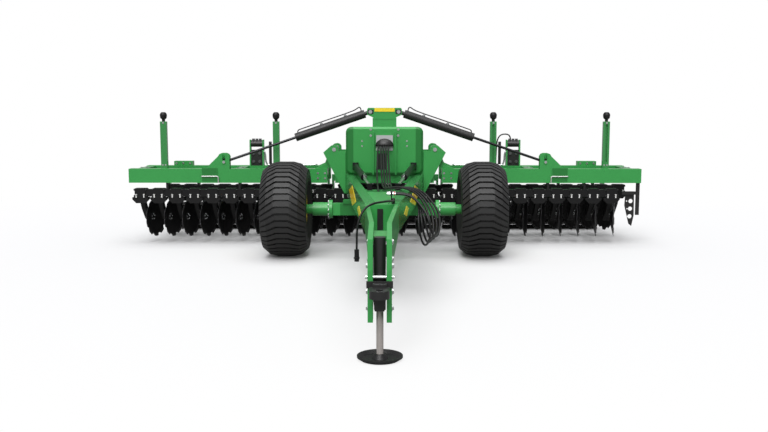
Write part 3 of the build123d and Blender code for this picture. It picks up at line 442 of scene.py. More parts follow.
def band(shape: Shape, one: Sequence[Any], two: Sequence[Any]) -> None:
    """Joins two rings of as many vertices by a band of faces.

    Args:
        shape: the mesh that gains the faces.
        one: the vertices of the first ring.
        two: those of the second, in the same order.
    """
    for k in range(len(one)):
        j = (k + 1) % len(one)
        shape.faces.new((one[k], one[j], two[j], two[k]))


def mesh_piece(name: str, shape: Shape, smooth: bool = False) -> Thing:
    """Turns a finished bmesh into an object at the origin, with its faces outwards.

    Args:
        name: the piece's name.
        shape: the bmesh, which is freed.
        smooth: shades its faces smooth.
    Returns:
        The new object.
    """
    bmesh.ops.recalc_face_normals(shape, faces=shape.faces)
    data = bpy.data.meshes.new(name)
    shape.to_mesh(data)
    shape.free()
    if smooth:
        data.shade_smooth()
    return put(name, data)


def curve_piece(name: str, points: Sequence[Point], radius: float) -> Thing:
    """A round tube along one smooth open spline.

    Args:
        name: the piece's name.
        points: the spline's control points, in metres.
        radius: half the tube's thickness.
    Returns:
        The curve object.
    """
    data = bpy.data.curves.new(name, "CURVE")
    data.dimensions = "3D"
    data.resolution_u = 8
    data.bevel_depth = radius
    data.bevel_resolution = 3
    data.use_fill_caps = True
    spline = data.splines.new("NURBS")
    spline.points.add(len(points) - 1)
    for spot, place in zip(spline.points, points):
        spot.co = (*place, 1.0)
    spline.order_u = 3
    spline.use_endpoint_u = True
    return put(name, data)


def pipe_piece(name: str, runs: Iterable[Sequence[Point]], radius: float) -> Thing:
    """Fixed steel pipes as one plain mesh.

    Args:
        name: the piece's name.
        runs: the control points of each pipe.
        radius: half a pipe's thickness.
    Returns:
        The mesh object.
    """
    shape = bmesh.new()
    for run in runs:
        source = curve_piece(name + "_line", run, radius)
        graph = bpy.context.evaluated_depsgraph_get()
        data = bpy.data.meshes.new_from_object(source.evaluated_get(graph))
        shape.from_mesh(data)
        bpy.data.meshes.remove(data)
        line = source.data
        bpy.data.objects.remove(source)
        bpy.data.curves.remove(line)
    bmesh.ops.remove_doubles(shape, verts=shape.verts, dist=1e-6)
    return mesh_piece(name, shape, True)


@dataclass
class Scatter:
    """A Geometry Nodes tree that stands one small form on marked points.

    Each point carries "facing", the way the form's axis points, and "size". The form is a bolt with a
    washer, or another object's.
    """

    name: str
    sides: int = 6
    radius: float = 0.014
    height: float = 0.012
    washer: float = 0.021
    washer_height: float = 0.003

    def bolt(self, tree: Tree, given: Any) -> bpy.types.NodeSocket:
        """Adds the nodes of a bolt head on its washer.

        Args:
            tree: the geometry tree.
            given: the group's input sockets, by name.
        Returns:
            The bolt's geometry.
        """
        join = tree.nodes.new("GeometryNodeJoinGeometry")
        for wide, tall, corners in (("Head radius", "Head height", self.sides),
                                    ("Washer radius", "Washer height", 2 * self.sides)):
            drum = add_node(tree, "GeometryNodeMeshCylinder", None, {
                "Vertices": corners, "Radius": given[wide], "Depth": given[tall]})
            lift = add_node(tree, "ShaderNodeCombineXYZ", None, {"Z": Sock(tree, given[tall]) * 0.5})
            stood = add_node(tree, "GeometryNodeTransform", None, {
                "Geometry": drum.outputs[0], "Translation": lift.outputs[0]})
            tree.links.new(stood.outputs[0], join.inputs[0])
        return join.outputs[0]

    def tree(self, finish: Finish, form: Optional[Thing] = None) -> Tree:
        """Builds the tree.

        Args:
            finish: the surface that the tree sets.
            form: an object to stand on the points in place of the bolt.
        Returns:
            The geometry tree.
        """
        tree = bpy.data.node_groups.new(self.name, "GeometryNodeTree")
        face = tree.interface
        for label, kind in (("Points", "Geometry"), ("Head radius", "Float"), ("Head height", "Float"),
                            ("Washer radius", "Float"), ("Washer height", "Float"), ("Form", "Object")):
            face.new_socket(label, in_out="INPUT", socket_type="NodeSocket" + kind)
        face.new_socket("Result", in_out="OUTPUT", socket_type="NodeSocketGeometry")
        given = tree.nodes.new("NodeGroupInput").outputs
        if form:
            lent = add_node(tree, "GeometryNodeObjectInfo", None, {"Object": given["Form"]})
            shape = lent.outputs["Geometry"]
        else:
            shape = self.bolt(tree, given)
        facing, size = (add_node(tree, "GeometryNodeInputNamedAttribute", {"data_type": kind}, {"Name": name})
                        for kind, name in (("FLOAT_VECTOR", "facing"), ("FLOAT", "size")))
        turn = add_node(tree, "FunctionNodeAlignRotationToVector", {"axis": "Z"}, {"Vector": facing.outputs[0]})
        stand = add_node(tree, "GeometryNodeInstanceOnPoints", None, {
            "Points": given["Points"], "Instance": shape, "Rotation": turn.outputs[0],
            "Scale": size.outputs[0]})
        real = add_node(tree, "GeometryNodeRealizeInstances", None, {0: stand.outputs[0]})
        coat = add_node(tree, "GeometryNodeSetMaterial", None, {
            "Geometry": real.outputs[0], "Material": finish.material()})
        end = tree.nodes.new("NodeGroupOutput")
        tree.links.new(coat.outputs[0], end.inputs[0])
        return tree

    def piece(self, name: str, spots: Sequence[Spot], body: Body, finish: Finish,
              form: Optional[Thing] = None) -> Thing:
        """Stands the form on every spot and makes one plain mesh of it.

        Args:
            name: the piece's name.
            spots: place, facing and size of each.
            body: the body that the mesh rides on.
            finish: its surface.
            form: an object to use in place of the bolt.
        Returns:
            The finished piece.
        """
        data = bpy.data.meshes.new(name + "_points")
        data.from_pydata([s[0] for s in spots], [], [])
        ways = data.attributes.new("facing", "FLOAT_VECTOR", "POINT")
        ways.data.foreach_set("vector", [v for s in spots for v in s[1]])
        sizes = data.attributes.new("size", "FLOAT", "POINT")
        sizes.data.foreach_set("value", [s[2] for s in spots])
        carrier = put(name + "_carrier", data)
        tree = self.tree(finish, form)
        modifier = carrier.modifiers.new("stand", "NODES")
        modifier.node_group = tree
        values = {"Head radius": self.radius, "Head height": self.height, "Washer radius": self.washer,
                  "Washer height": self.washer_height, "Form": form}
        for item in tree.interface.items_tree:
            if item.in_out == "INPUT" and values.get(item.name) is not None:
                modifier[item.identifier] = values[item.name]
        graph = bpy.context.evaluated_depsgraph_get()
        result = bpy.data.meshes.new_from_object(carrier.evaluated_get(graph))
        carrier.modifiers.clear()
        bpy.data.objects.remove(carrier)
        bpy.data.meshes.remove(data)
        result.name = name
        return settle(put(name, result), body, finish)


@dataclass
class Gangs:
    """The blade rows: smooth notched blades, clamp caps, studs, hub bolts and rubber cushions."""

    pitch: float = 0.254
    start: float = -3.35
    square: float = 0.10
    tube_z: float = 0.74
    hub_z: float = 0.365
    hub_back: float = 0.30
    skew: float = math.radians(16.0)
    blade_r: float = 0.280
    bore_r: float = 0.02
    flat_r: float = 0.085
    rings: tuple[float, ...] = (0.15, 0.205, 0.238)
    dish: float = 0.052
    dish_power: float = 1.12
    thick: float = 0.006
    edge_thin: float = 0.35
    notches: int = 10
    notch_steps: int = 8
    notch_half: float = 0.19
    notch_deep: float = 0.034
    notch_wall: float = 1.7  # how steep a notch's sides are
    clamp_back: float = 0.078
    stud_x: float = 0.054
    stud_gap: float = 0.019
    stud_top: float = 0.036
    hub_bolts: int = 5
    hub_bolt_r: float = 0.036
    cushion_x: float = 0.074
    cushion_in: float = 0.006
    cap_half: Pairs = ((0.06, -0.094), (0.112, -0.04), (0.112, -0.012))
    cap_y: tuple[float, float] = (-0.011, 0.095)

    def rows(self) -> list[tuple[str, str, Body, float, int, list[float]]]:
        """Lists the gangs.

        Returns:
            Section, row, body, gang tube Y, hand and blade places of each.
        """
        out = []
        sections = (("wing_left", 0, 10, Body.WING_LEFT), ("centre", 10, 17, Body.CHASSIS),
                    ("wing_right", 17, 27, Body.WING_RIGHT))
        for section, first, last, body in sections:
            for row, tube_y, shift, hand in (("front", FRONT_Y + 0.025, 0.0, 1),
                                             ("rear", REAR_Y + 0.025, self.pitch / 2, -1)):
                places = [self.start + shift + self.pitch * k for k in range(first, last)]
                out.append((section, row, body, tube_y, hand, places))
        return out

    def edge_r(self, step: int) -> float:
        """The blade's outer radius, which is less in a notch.

        Args:
            step: the step round the blade.
        Returns:
            The radius there.
        """
        phase = (step % self.notch_steps) / self.notch_steps
        cut = max(0.0, 1.0 - min(phase, 1 - phase) / self.notch_half)
        return self.blade_r - self.notch_deep * min(1.0, cut * self.notch_wall)

    def blade(self) -> Thing:
        """One notched, dished blade about its own axis, with its edge marked.

        Returns:
            A loose object that only lends its form.
        """
        shape = bmesh.new()
        rim = shape.verts.layers.float.new("rim")
        steps = self.notches * self.notch_steps
        levels: tuple[Optional[float], ...] = (self.bore_r, self.flat_r, *self.rings, None)  # None: the edge
        loops: list[list[bmesh.types.BMVert]] = []
        for thick, order in ((0.0, levels), (self.thick, levels[::-1])):
            for level in order:
                loop = []
                for k in range(steps):
                    angle = 2 * math.pi * k / steps
                    r = self.edge_r(k) if level is None else level
                    out = max(0.0, (r - self.flat_r) / (self.blade_r - self.flat_r))
                    rise = out ** self.dish_power * self.dish
                    back = thick * (self.edge_thin if level is None else 1.0)
                    vert = shape.verts.new((r * math.cos(angle), r * math.sin(angle), rise + back))
                    vert[rim] = 1.0 if level is None else 0.0
                    loop.append(vert)
                loops.append(loop)
        for one, two in zip(loops, loops[1:] + loops[:1]):
            band(shape, one, two)
        return mesh_piece("blade_form", shape, True)

    def cap(self, shape: Shape, back: float, tube_y: float, low: float) -> None:
        """Adds one lower clamp cap, which holds the cushions under the gang tube.

        Args:
            shape: the mesh that gains the cap.
            back: the arm's place across the machine.
            tube_y: the gang tube's front face.
            low: the gang tube's lower face.
        """
        outline = [(-x, z) for x, z in reversed(self.cap_half)] + list(self.cap_half)
        ends = [[shape.verts.new((back + x, tube_y + y, low + z)) for x, z in outline] for y in self.cap_y]
        shape.faces.new(ends[0])
        shape.faces.new(list(reversed(ends[1])))
        band(shape, *ends)

    def hub_spots(self, hub: Vector, way: Point) -> list[Spot]:
        """The bolts round one blade's hub.

        Args:
            hub: the blade's middle.
            way: the blade's axis.
        Returns:
            Their spots.
        """
        side, upward = Vector(way), Vector(UP)
        flat = side.cross(upward)
        out = []
        for k in range(self.hub_bolts):
            turn = 2 * math.pi * k / self.hub_bolts
            ring = self.hub_bolt_r * (upward * math.cos(turn) + flat * math.sin(turn))
            out.append((tuple(hub + side * self.thick + ring), way, 0.7))
        return out

    def build(self) -> None:
        """Builds the blades and what is bolted to the gangs."""
        form = self.blade()
        stand = Scatter("blade_row")
        studs: dict[Body, list[Spot]] = defaultdict(list)
        hubs: dict[Body, list[Spot]] = defaultdict(list)
        cushions: dict[Body, list[Spot]] = defaultdict(list)
        caps: dict[Body, Shape] = defaultdict(bmesh.new)
        low = self.tube_z - self.square / 2
        corners = (self.cushion_in, self.square - self.cushion_in)
        for section, row, body, tube_y, hand, places in self.rows():
            hub_y = tube_y + self.square / 2 + self.hub_back
            way = (hand * math.cos(self.skew), -math.sin(self.skew), 0.0)
            spots = [((x, hub_y, self.hub_z), way, 1.0) for x in places]
            piece = stand.piece(f"{section}_{row}_notched", spots, body, BLADE, form)
            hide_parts(f"{section}_{row}_blades")
            for x in places:
                back = x - hand * self.clamp_back
                studs[body] += [((back + dx, y, low + self.stud_top), DOWN, 1.0)
                                for dx in (-self.stud_x, self.stud_x)
                                for y in (tube_y - self.stud_gap, tube_y + self.square + self.stud_gap)]
                self.cap(caps[body], back, tube_y, low)
                hubs[body] += self.hub_spots(Vector((x, hub_y, self.hub_z)), way)
                cushions[body] += [((back + face * self.cushion_x, tube_y + dy, low + dz), (face, 0, 0), 1.0)
                                   for face in (-1, 1) for dy in corners for dz in corners]
        form_data = form.data
        bpy.data.objects.remove(form)
        bpy.data.meshes.remove(form_data)
        stud = Scatter("clamp_stud", radius=0.0095, height=0.05, washer=0.0135, washer_height=0.01)
        for body, spots in studs.items():
            stud.piece(f"clamp_studs_{body.value}", spots, body, STUD)
            Scatter("hub_bolt").piece(f"hub_bolts_{body.value}", hubs[body], body, ZINC)
            settle(mesh_piece(f"clamp_caps_{body.value}", caps[body]), body, GANG_BLACK)
        cushion = Scatter("cushion", 8, radius=0.016, height=0.014, washer=0.012, washer_height=0.018)
        for body, spots in cushions.items():
            cushion.piece(f"cushions_{body.value}", spots, body, RUBBER)


@dataclass
class Hardware:
    """Bolts on the frame, the wheels' nuts and the axle's flange bolts.

    The tables hold places across and up, or along and up, and the last number of a row of three is a size.
    """

    panel: tuple[Point, ...] = ((0.19, 1.545, 0.8), (0.19, 1.63, 0.8), (0.30, 1.045, 0.6), (0.31, 1.47, 0.6),
                                (0.31, 1.40, 0.6))
    hinge: Pairs = ((0.55, 1.27), (0.55, 1.13), (0.64, 1.13))
    hinge_back: float = 0.019
    cheek_x: float = 0.092
    cheek: Pairs = (
        (0.36, 0.72), (0.36, 0.86), (0.05, 0.72), (0.05, 0.52), (0.02, 0.40))
    rail: tuple[float, ...] = (0.44, 0.50)
    ring: int = 10
    flange_x: float = 0.715
    flange_r: float = 0.102
    nut_lift: float = 0.046
    nut_r: float = 0.125
    hinge_end_x: tuple[float, ...] = (0.83, 0.93)
    hinge_end_z: tuple[float, ...] = (0.95, 1.02)
    post_d: float = 0.06
    post_top: float = 1.716
    post_foot: float = 1.125
    bracket_x: float = 2.975
    bracket_z: float = 1.113
    rib: tuple[float, ...] = (0.88, 2.06, 3.44)
    rib_z: float = 1.075

    def round_axle(self, s: int, x: float, radius: float, size: float) -> list[Spot]:
        """A ring of bolts about the axle's line.

        Args:
            s: the side, -1 or 1.
            x: the face's distance from the middle line.
            radius: the ring's radius.
            size: the bolts' size.
        Returns:
            Their spots.
        """
        turns = [2 * math.pi * k / self.ring for k in range(self.ring)]
        return [((s * x, AXLE_Y + radius * math.cos(t), WHEEL_R + radius * math.sin(t)), (s, 0, 0), size)
                for t in turns]

    def chassis(self, s: int) -> list[Spot]:
        """The bolts on one side of the middle section and the tongue.

        Args:
            s: the side, -1 or 1.
        Returns:
            Their spots.
        """
        out = [((s * x, PANEL_FACE, z), AHEAD, size) for x, z, size in self.panel]
        out += [((s * x, REAR_Y + self.hinge_back, z), AHEAD, 1.1) for x, z in self.hinge]
        out += self.round_axle(s, self.flange_x, self.flange_r, 1.0)
        out += [((s * self.cheek_x, JACK_Y + y, z), (s, 0, 0), 1.3) for y, z in self.cheek]
        return out + [((s * x, FRONT_Y + 0.4, TUBE_Z1), UP, 1.2) for x in self.rail]

    def wing(self, s: int) -> list[Spot]:
        """The bolts on one wing.

        Args:
            s: the side, -1 or 1.
        Returns:
            Their spots.
        """
        out: list[Spot] = []
        for z in self.hinge_end_z:
            for x in self.hinge_end_x:
                out += [((s * x, FRONT_Y, z), AHEAD, 0.7), ((s * x, REAR_Y + TUBE_D, z), BEHIND, 1.4)]
        face = FRONT_Y + TUBE_D
        for post in POST_X:
            out += [((s * post, face, self.post_top), AHEAD, 0.7),
                    ((s * post, face + self.post_d, self.post_top), BEHIND, 0.7)]
            out += [((s * post + dx, face, self.post_foot), AHEAD, 0.6) for dx in (-0.02, 0.02)]
        out += [((s * (self.bracket_x + dx), REAR_Y + 0.02, self.bracket_z), AHEAD, 0.8)
                for dx in (-0.1, 0.0, 0.1)]
        return out + [((s * (x + dx), FRONT_Y + 0.3, self.rib_z), UP, 1.0)
                      for x in self.rib for dx in (-0.035, 0.035)]

    def build(self) -> None:
        """Places the bolts body by body."""
        spots: dict[Body, list[Spot]] = {b: [] for b in Body}
        for side, s in SIDES:
            spots[Body.CHASSIS] += self.chassis(s)
            spots[Body("wing_" + side)] += self.wing(s)
            spots[Body("wheel_" + side)] += self.round_axle(s, WHEEL_X + self.nut_lift, self.nut_r, 1.25)
        for body, places in spots.items():
            if places:
                Scatter("hex_bolt").piece(f"bolts_{body.value}", places, body, ZINC)


@dataclass
class Trim:
    """Reflectors, plates, the hose cover, fixed oil pipes and bent bars."""

    barrel_r: float = 0.057
    diamonds: tuple[tuple[float, float, float, float], ...] = (
        (0.31, 0.87, 0.75, 0.122), (-0.97, 0.83, 0.3, 0.055))
    cover: Point = (0.128, 0.075, 0.105)
    cover_z: float = 1.400
    cover_gap: float = 0.014
    cover_rings: int = 6
    cover_steps: int = 12
    barrel_pipe: Pairs = (
        (1.05, 0.05), (1.05, 0.085), (0.98, 0.088), (0.6, 0.088), (0.24, 0.088), (0.17, 0.1), (0.13, 0.115),
        (0.11, 0.09), (0.12, 0.05))

    def build(self) -> None:
        """Builds each kind of trim."""
        self.reflectors()
        self.front_plates()
        self.hose_cover()
        self.oil_pipes()
        self.wing_pipes()
        self.frame_pipes()
        self.bent_bars()
        self.bands()

    def reflectors(self) -> None:
        """Amber diamonds on the outer faces of the tongue beams: Y, Z, half length and half height of each."""
        shape = bmesh.new()
        run = FRONT_Y - BEAM_FRONT_Y
        lean = Vector((BEAM_SPREAD, run, 0)).normalized()
        for s in (-1, 1):
            along, out = Vector((s * lean.x, lean.y, 0)), Vector((s * lean.y, -lean.x, 0))
            for y, z, half, tall in self.diamonds:
                middle = Vector((s * (BEAM_X + BEAM_SPREAD * (y - BEAM_FRONT_Y) / run), y, z))
                corners = [middle + along * half * a + Vector((0, 0, tall * b))
                           for a, b in ((-1, 0), (0, -1), (1, 0), (0, 1))]
                low = [shape.verts.new(c) for c in corners]
                mid = [shape.verts.new(c + out * 0.003) for c in corners]
                top = [shape.verts.new(middle + (c - middle) * 0.95 + out * 0.005) for c in corners]
                band(shape, low, mid)
                band(shape, mid, top)
                shape.faces.new(top)
                shape.faces.new(list(reversed(low)))
        # Their finish glows faintly: painted light
        settle(mesh_piece("beam_reflectors", shape), Body.CHASSIS, AMBER_PAINTED_GLOW)

    @staticmethod
    def plates(name: str, boxes: Sequence[tuple[float, float, float, float]], y: float, thick: float,
               finish: Finish) -> None:
        """Small flat plates with eased edges on a face that looks to the front.

        Args:
            name: the piece's name.
            boxes: left, right, bottom and top of each plate.
            y: the face that they lie on.
            thick: their thickness.
            finish: their surface.
        """
        shape = bmesh.new()
        for x0, x1, z0, z1 in boxes:
            for vert in bmesh.ops.create_cube(shape, size=1.0)["verts"]:
                vert.co = Vector(((x0 + x1) / 2 + vert.co.x * (x1 - x0), y + (vert.co.y - 0.5) * thick,
                                  (z0 + z1) / 2 + vert.co.z * (z1 - z0)))
        bmesh.ops.bevel(shape, geom=shape.edges[:], offset=thick * 0.3, segments=2, affect="EDGES")
        settle(mesh_piece(name, shape), Body.CHASSIS, finish)

    def front_plates(self) -> None:
        """The yellow plate across the mast head, and black plates that paint the shade in the openings that the
        front shows.
        """
        self.plates("head_plate", ((-0.14, 0.14, 1.872, 1.922),), HEAD_FACE, 0.006, YELLOW)
        # Black plates where the slots and openings show only shade: painted shade
        self.plates("clevis_slots", ((-0.232, -0.152, 1.842, 1.900), (0.152, 0.232, 1.842, 1.900)),
                    HEAD_FACE, 0.004, BLACK)
        self.plates("mast_opening", ((-0.098, 0.036, 1.075, 1.30),), PANEL_FACE, 0.004, BLACK)
        self.plates("nose_opening", ((-0.046, 0.012, 0.76, 0.965),), BEAM_FRONT_Y - 0.04, 0.004, BLACK)

    def hose_cover(self) -> None:
        """The black half dome over the hose fittings on the mast."""
        shape = bmesh.new()
        wide, deep, tall = self.cover
        rings = []
        for k in range(self.cover_rings + 1):
            lift = math.pi / 2 * k / self.cover_rings
            turns = [math.pi * j / self.cover_steps for j in range(self.cover_steps + 1)]
            rings.append([shape.verts.new((wide * math.cos(t) * math.cos(lift),
                                           PANEL_FACE - self.cover_gap - deep * math.sin(t) * math.cos(lift),
                                           self.cover_z + tall * math.sin(lift))) for t in turns])
        for one, two in zip(rings, rings[1:]):
            for j in range(self.cover_steps):
                shape.faces.new((one[j], one[j + 1], two[j + 1], two[j]))
        bmesh.ops.remove_doubles(shape, verts=shape.verts, dist=1e-4)
        piece = mesh_piece("hose_cover", shape, True)
        wall = piece.modifiers.new("wall", "SOLIDIFY")
        wall.thickness = 0.004
        settle(piece, Body.CHASSIS, BLACK)

    def oil_pipes(self) -> None:
        """A steel oil pipe along the top of each fold barrel, with its loop at the mast end."""
        for side, s in SIDES:
            base = Vector((s * CYLINDER_X, CYLINDER_Y, CYLINDER_Z))
            aim = Vector((s * (EYE_X - CYLINDER_X), 0, EYE_Z - CYLINDER_Z)).normalized()
            up = Vector((-s * aim.z, 0, s * aim.x))
            run = [tuple(base + aim * distance + up * lift) for distance, lift in self.barrel_pipe]
            settle(pipe_piece(f"oil_pipe_{side}", [run], 0.008), Body("fold_barrel_" + side), BLACK)
            spots = [(tuple(base + aim * d + up * self.barrel_r), tuple(up), 1.4) for d in (0.35, 0.7)]
            clip = Scatter("pipe_clip", radius=0.01, height=0.024, washer=0.016, washer_height=0.008)
            clip.piece(f"pipe_clips_{side}", spots, Body("fold_barrel_" + side), ZINC)

    def wing_pipes(self) -> None:
        """Steel pipes on each rear tube, and the fittings of the wing's hydraulic unit."""
        z = TUBE_Z1 + 0.009
        route = ((1.0, 0), (1.2, 0), (1.45, 0), (1.7, 0), (1.74, 0), (1.765, 0.06), (1.765, 0.16), (1.785, 0.2))
        for side, s in SIDES:
            wing = Body("wing_" + side)
            runs = [[(s * x, REAR_Y + back, z + rise) for x, rise in route] for back in (0.05, 0.095)]
            settle(pipe_piece(f"wing_pipes_{side}", runs, 0.009), wing, ZINC)
            can = [(s * 1.70, REAR_Y + 0.128, height) for height in (TUBE_Z1 - 0.002, 1.25, 1.43)]
            settle(pipe_piece(f"unit_canister_{side}", [can], 0.022), wing, BLACK)
            spots = [((s * (UNIT_X + dx), REAR_Y + 0.035, height), AHEAD, 1.3)
                     for dx in (-0.045, 0.045) for height in (1.14, 1.26)]
            spots += [((s * (UNIT_X + dx), REAR_Y + 0.075, 1.444), UP, 1.6) for dx in (-0.05, 0.0, 0.05)]
            fitting = Scatter("unit_fitting", radius=0.013, height=0.02, washer=0.018, washer_height=0.005)
            fitting.piece(f"unit_fittings_{side}", spots, wing, STEEL)
        arch = [(x, REAR_Y + 0.075, height) for x, height in (
            (1.86, 1.43), (1.85, 1.49), (1.83, 1.53), (1.78, 1.545), (1.71, 1.535), (1.67, 1.49), (1.65, 1.41),
            (1.645, 1.28), (1.64, TUBE_Z1 + 0.1), (1.64, TUBE_Z1 - 0.005))]
        settle(pipe_piece("unit_pipe", [arch], 0.01), Body.WING_RIGHT, BLACK)

    @staticmethod
    def frame_pipes() -> None:
        """Oil pipes across the middle section, clipped to the back of the front gang's hangers."""
        runs = [[(x, FRONT_Y + 0.136, z) for x in (-0.62, 0.0, 0.62)] for z in (0.820, 0.848, 0.874)]
        settle(pipe_piece("frame_pipes", runs, 0.012), Body.CHASSIS, BLACK)

    @staticmethod
    def bent_bars() -> None:
        """Pale bent bars over the saddle plates on the front tubes."""
        route = ((2.555, 0.977), (2.48, 0.977), (2.36, 0.977), (2.33, 0.977), (2.318, 0.966), (2.318, 0.93),
                 (2.318, 0.887))
        for side, s in SIDES:
            run = [(s * x, FRONT_Y - 0.021, z) for x, z in route]
            settle(pipe_piece(f"bent_bar_{side}", [run], 0.0085), Body("wing_" + side), PALE)

    @staticmethod
    def bands() -> None:
        """Coloured bands on the parked couplers."""
        for name, finish, x in (("bands_red", RED, 0.118), ("bands_white", WHITE, 0.066)):
            spots = [((x, RACK_Y - RACK_STEP * k, RACK_Z), (1, 0, 0), 1.0) for k in range(4)]
            ring = Scatter(name, 16, radius=0.0165, height=0.008, washer=0.0165, washer_height=0.008)
            ring.piece(name, spots, Body.CHASSIS, finish)


@dataclass
class Hoses:
    """The free hoses and the lighting harness, each on one smooth spline."""

    hose_r: float = 0.011
    harness_r: float = 0.010
    lengths: tuple[float, ...] = (4.548, 4.527, 4.517, 4.516)
    middle_length: float = 3.828
    harness_length: float = 0.937
    top: float = 1.4
    loop_run: tuple[Point, ...] = (
        (0.004, 0.29, -0.095), (0.01, 0.05, -0.225), (0.018, -0.2, -0.34), (0.028, -0.47, -0.41),
        (0.042, -0.75, -0.432), (0.066, -1.04, -0.422), (0.11, -1.32, -0.392), (0.18, -1.57, -0.358),
        (0.28, -1.78, -0.348), (0.39, -1.95, -0.378))
    middle_run: tuple[Point, ...] = (
        (-0.006, 0.29, -0.1), (-0.008, 0.05, -0.23), (-0.004, -0.2, -0.345), (0.004, -0.47, -0.412),
        (0.014, -0.73, -0.434), (0.024, -1.01, -0.466), (0.033, -1.31, -0.515), (0.041, -1.61, -0.548),
        (0.048, -1.91, -0.56), (0.054, -2.21, -0.554), (0.059, -2.51, -0.528))
    harness_run: tuple[Point, ...] = (
        (0.11, 0.04, 0.0), (0.11, -0.06, 0.0), (0.072, -0.165, 0.012), (0.01, -0.26, 0.014),
        (-0.074, -0.335, 0.01), (-0.15, -0.395, -0.024), (-0.2, -0.436, -0.105), (-0.222, -0.456, -0.208),
        (-0.226, -0.462, -0.305))

    def leave(self, x: float, run: Sequence[Point]) -> list[Point]:
        """The control points of a hose from the mast forward.

        Args:
            x: the hose's place across the mast.
            run: its further points, from that place, the axle and the fittings' height.
        Returns:
            The points, in metres.
        """
        start = [(x, PANEL_FACE - 0.06, self.top), (x, AXLE_Y + 0.53, self.top)]
        return start + [(x + dx, AXLE_Y + dy, self.top + dz) for dx, dy, dz in run]

    def loop(self, k: int) -> list[Point]:
        """The control points of one loop hose, as its solid has them.

        Args:
            k: the hose's place in the row, from the left.
        Returns:
            The points, in metres.
        """
        x, lag, drop, top = -0.048 + 0.033 * k, RACK_STEP * k, 0.034 * k, self.top
        end, a, out = RACK_Y - lag, AXLE_Y, x - 0.002 * k
        return self.leave(x, self.loop_run) + [
            (out + 0.485, a - 2.09, top - 0.475),
            (out + 0.54, a - 2.22 - lag * 0.3, top - 0.62 + drop * 0.6),
            (out + 0.545, a - 2.37 - lag * 0.7, top - 0.76 + drop),
            (out + 0.515, a - 2.54 - lag, top - 0.845 + drop),
            (out + 0.465, a - 2.71 - lag, top - 0.845 + drop),
            (out + 0.425, end - 0.165, top - 0.745 + drop),
            (out + 0.4, end - 0.145, top - 0.59 + drop * 0.6),
            (0.37 + 0.008 * k, end - 0.06, top - 0.45), (0.312, end - 0.01, top - 0.355),
            (0.214, end, RACK_Z), (0.132, end, RACK_Z)]

    def middle(self) -> list[Point]:
        """The control points of the hose between the tongue beams."""
        x, low = -0.084, 0.93
        return self.leave(x, self.middle_run) + [(x + 0.062, y, low) for y in (AXLE_Y - 2.78, BEAM_FRONT_Y)]

    def harness(self) -> list[Point]:
        """The control points of the lighting harness over the nose."""
        over = [(x, BEAM_FRONT_Y + dy, TONGUE_TOP + 0.035 + dz) for x, dy, dz in self.harness_run]
        return over + [(*over[-1][:2], 0.64)]

    def lay(self, name: str, points: list[Point], radius: float) -> None:
        """Args:
            name: the solid that it stands for.
            points: its control points.
            radius: half its thickness.
        """
        piece = curve_piece(name + "_line", points, radius)
        settle(piece, Body.CHASSIS, HOSE)
        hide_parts(name)

    def build(self) -> None:
        """Lays all the hoses and the harness."""
        for k, length in enumerate(self.lengths):
            self.lay(f"hose_{k + 1}", self.loop(k), self.hose_r)
        self.lay("hose_middle", self.middle(), self.hose_r)
        self.lay("harness", self.harness(), self.harness_r)


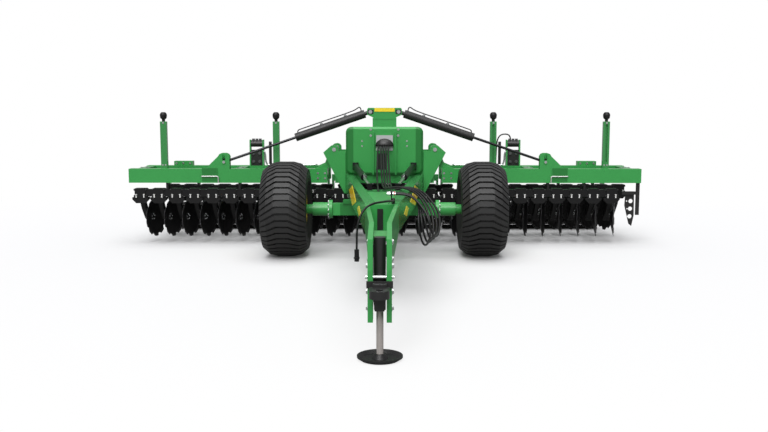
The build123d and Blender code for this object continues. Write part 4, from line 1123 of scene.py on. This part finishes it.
@dataclass
class Studio:
    """The camera, floor and lights."""

    lens: float = 41.012
    sensor: float = 36.0
    place: Point = (0.0761, -10.2334, 1.9097)
    pitch: float = 6.975
    yaw: float = 0.3916
    clip_end: float = 300.0
    reach: float = 60.0
    floor_y: float = 2.4
    floor_squash: float = 0.55
    fade_from: float = 2.2
    fade_over: float = 5.0
    fade_least: float = 0.04
    floor_seen: Colour = (0.60, 0.60, 0.61)
    floor_lit: Colour = (0.26, 0.26, 0.26)
    world_light: float = 0.44
    lights: tuple[tuple[str, float, float, Point], ...] = (
        ("key", 2.4, 40.0, (48.0, 4.0, -14.0)), ("top", 2.2, 60.0, (8.0, 0.0, 0.0)))

    def build(self) -> None:
        """Sets up the stage."""
        scene = bpy.context.scene
        scene.view_settings.view_transform = "Standard"
        data = bpy.data.cameras.new("camera")
        data.lens, data.sensor_width = self.lens, self.sensor
        data.dof.use_dof = False
        data.clip_end = self.clip_end
        camera = put("camera", data)
        camera.location = self.place
        camera.rotation_euler = (math.radians(90.0 - self.pitch), 0.0, math.radians(self.yaw))
        scene.camera = camera
        self.floor()
        self.world()
        self.lamps()

    def floor(self) -> None:
        """A pale floor that turns to plain white away from the machine, and throws back little light."""
        shape = bmesh.new()
        bmesh.ops.create_grid(shape, x_segments=1, y_segments=1, size=self.reach)
        piece = mesh_piece("studio_floor", shape)
        made = bpy.data.materials.new("floor_white")
        made.use_nodes = True
        tree = made.node_tree
        tree.nodes.clear()
        place = add_node(tree, "ShaderNodeTexCoord").outputs["Object"]
        split = add_node(tree, "ShaderNodeSeparateXYZ", None, {0: place})
        across = Sock(tree, split.outputs[0]) * self.floor_squash
        along = Sock(tree, split.outputs[1]) - self.floor_y
        away = (across * across + along * along).math("SQRT")
        fade = ((away - self.fade_from) / self.fade_over).clamp() * (1 - self.fade_least) + self.fade_least
        seen = seen_by_eye(tree)
        tone = Finish.mix(tree, seen, (*self.floor_lit, 1), (*self.floor_seen, 1))
        matt = add_node(tree, "ShaderNodeBsdfDiffuse", None, {"Color": tone})
        glow = add_node(tree, "ShaderNodeEmission", None, {"Color": (1, 1, 1, 1), "Strength": 1.0})
        both = add_node(tree, "ShaderNodeMixShader", None, {
            0: fade * seen, 1: matt.outputs[0], 2: glow.outputs[0]})
        add_node(tree, "ShaderNodeOutputMaterial", None, {"Surface": both.outputs[0]})
        piece.data.materials.append(made)

    def world(self) -> None:
        """White to the eye, and a soft even light on the machine."""
        made = bpy.data.worlds.new("studio")
        made.use_nodes = True
        tree = made.node_tree
        tree.nodes.clear()
        strength = seen_by_eye(tree) * (1 - self.world_light) + self.world_light
        back = add_node(tree, "ShaderNodeBackground", None, {"Color": (1, 1, 1, 1), "Strength": strength})
        add_node(tree, "ShaderNodeOutputWorld", None, {"Surface": back.outputs[0]})
        bpy.context.scene.world = made

    def lamps(self) -> None:
        """A broad soft key from the front, and a large soft light overhead."""
        for name, energy, angle, turn in self.lights:
            data = bpy.data.lights.new(name, "SUN")
            data.energy, data.angle = energy, math.radians(angle)
            put(name, data).rotation_euler = tuple(math.radians(t) for t in turn)


def main() -> None:
    """Builds the stage, dresses the solids and adds the pieces."""
    logging.basicConfig(level=logging.INFO, format="%(message)s")
    Studio().build()
    dress_solids()
    Hoses().build()
    Gangs().build()
    Hardware().build()
    Trim().build()


if __name__ == "__main__":
    main()
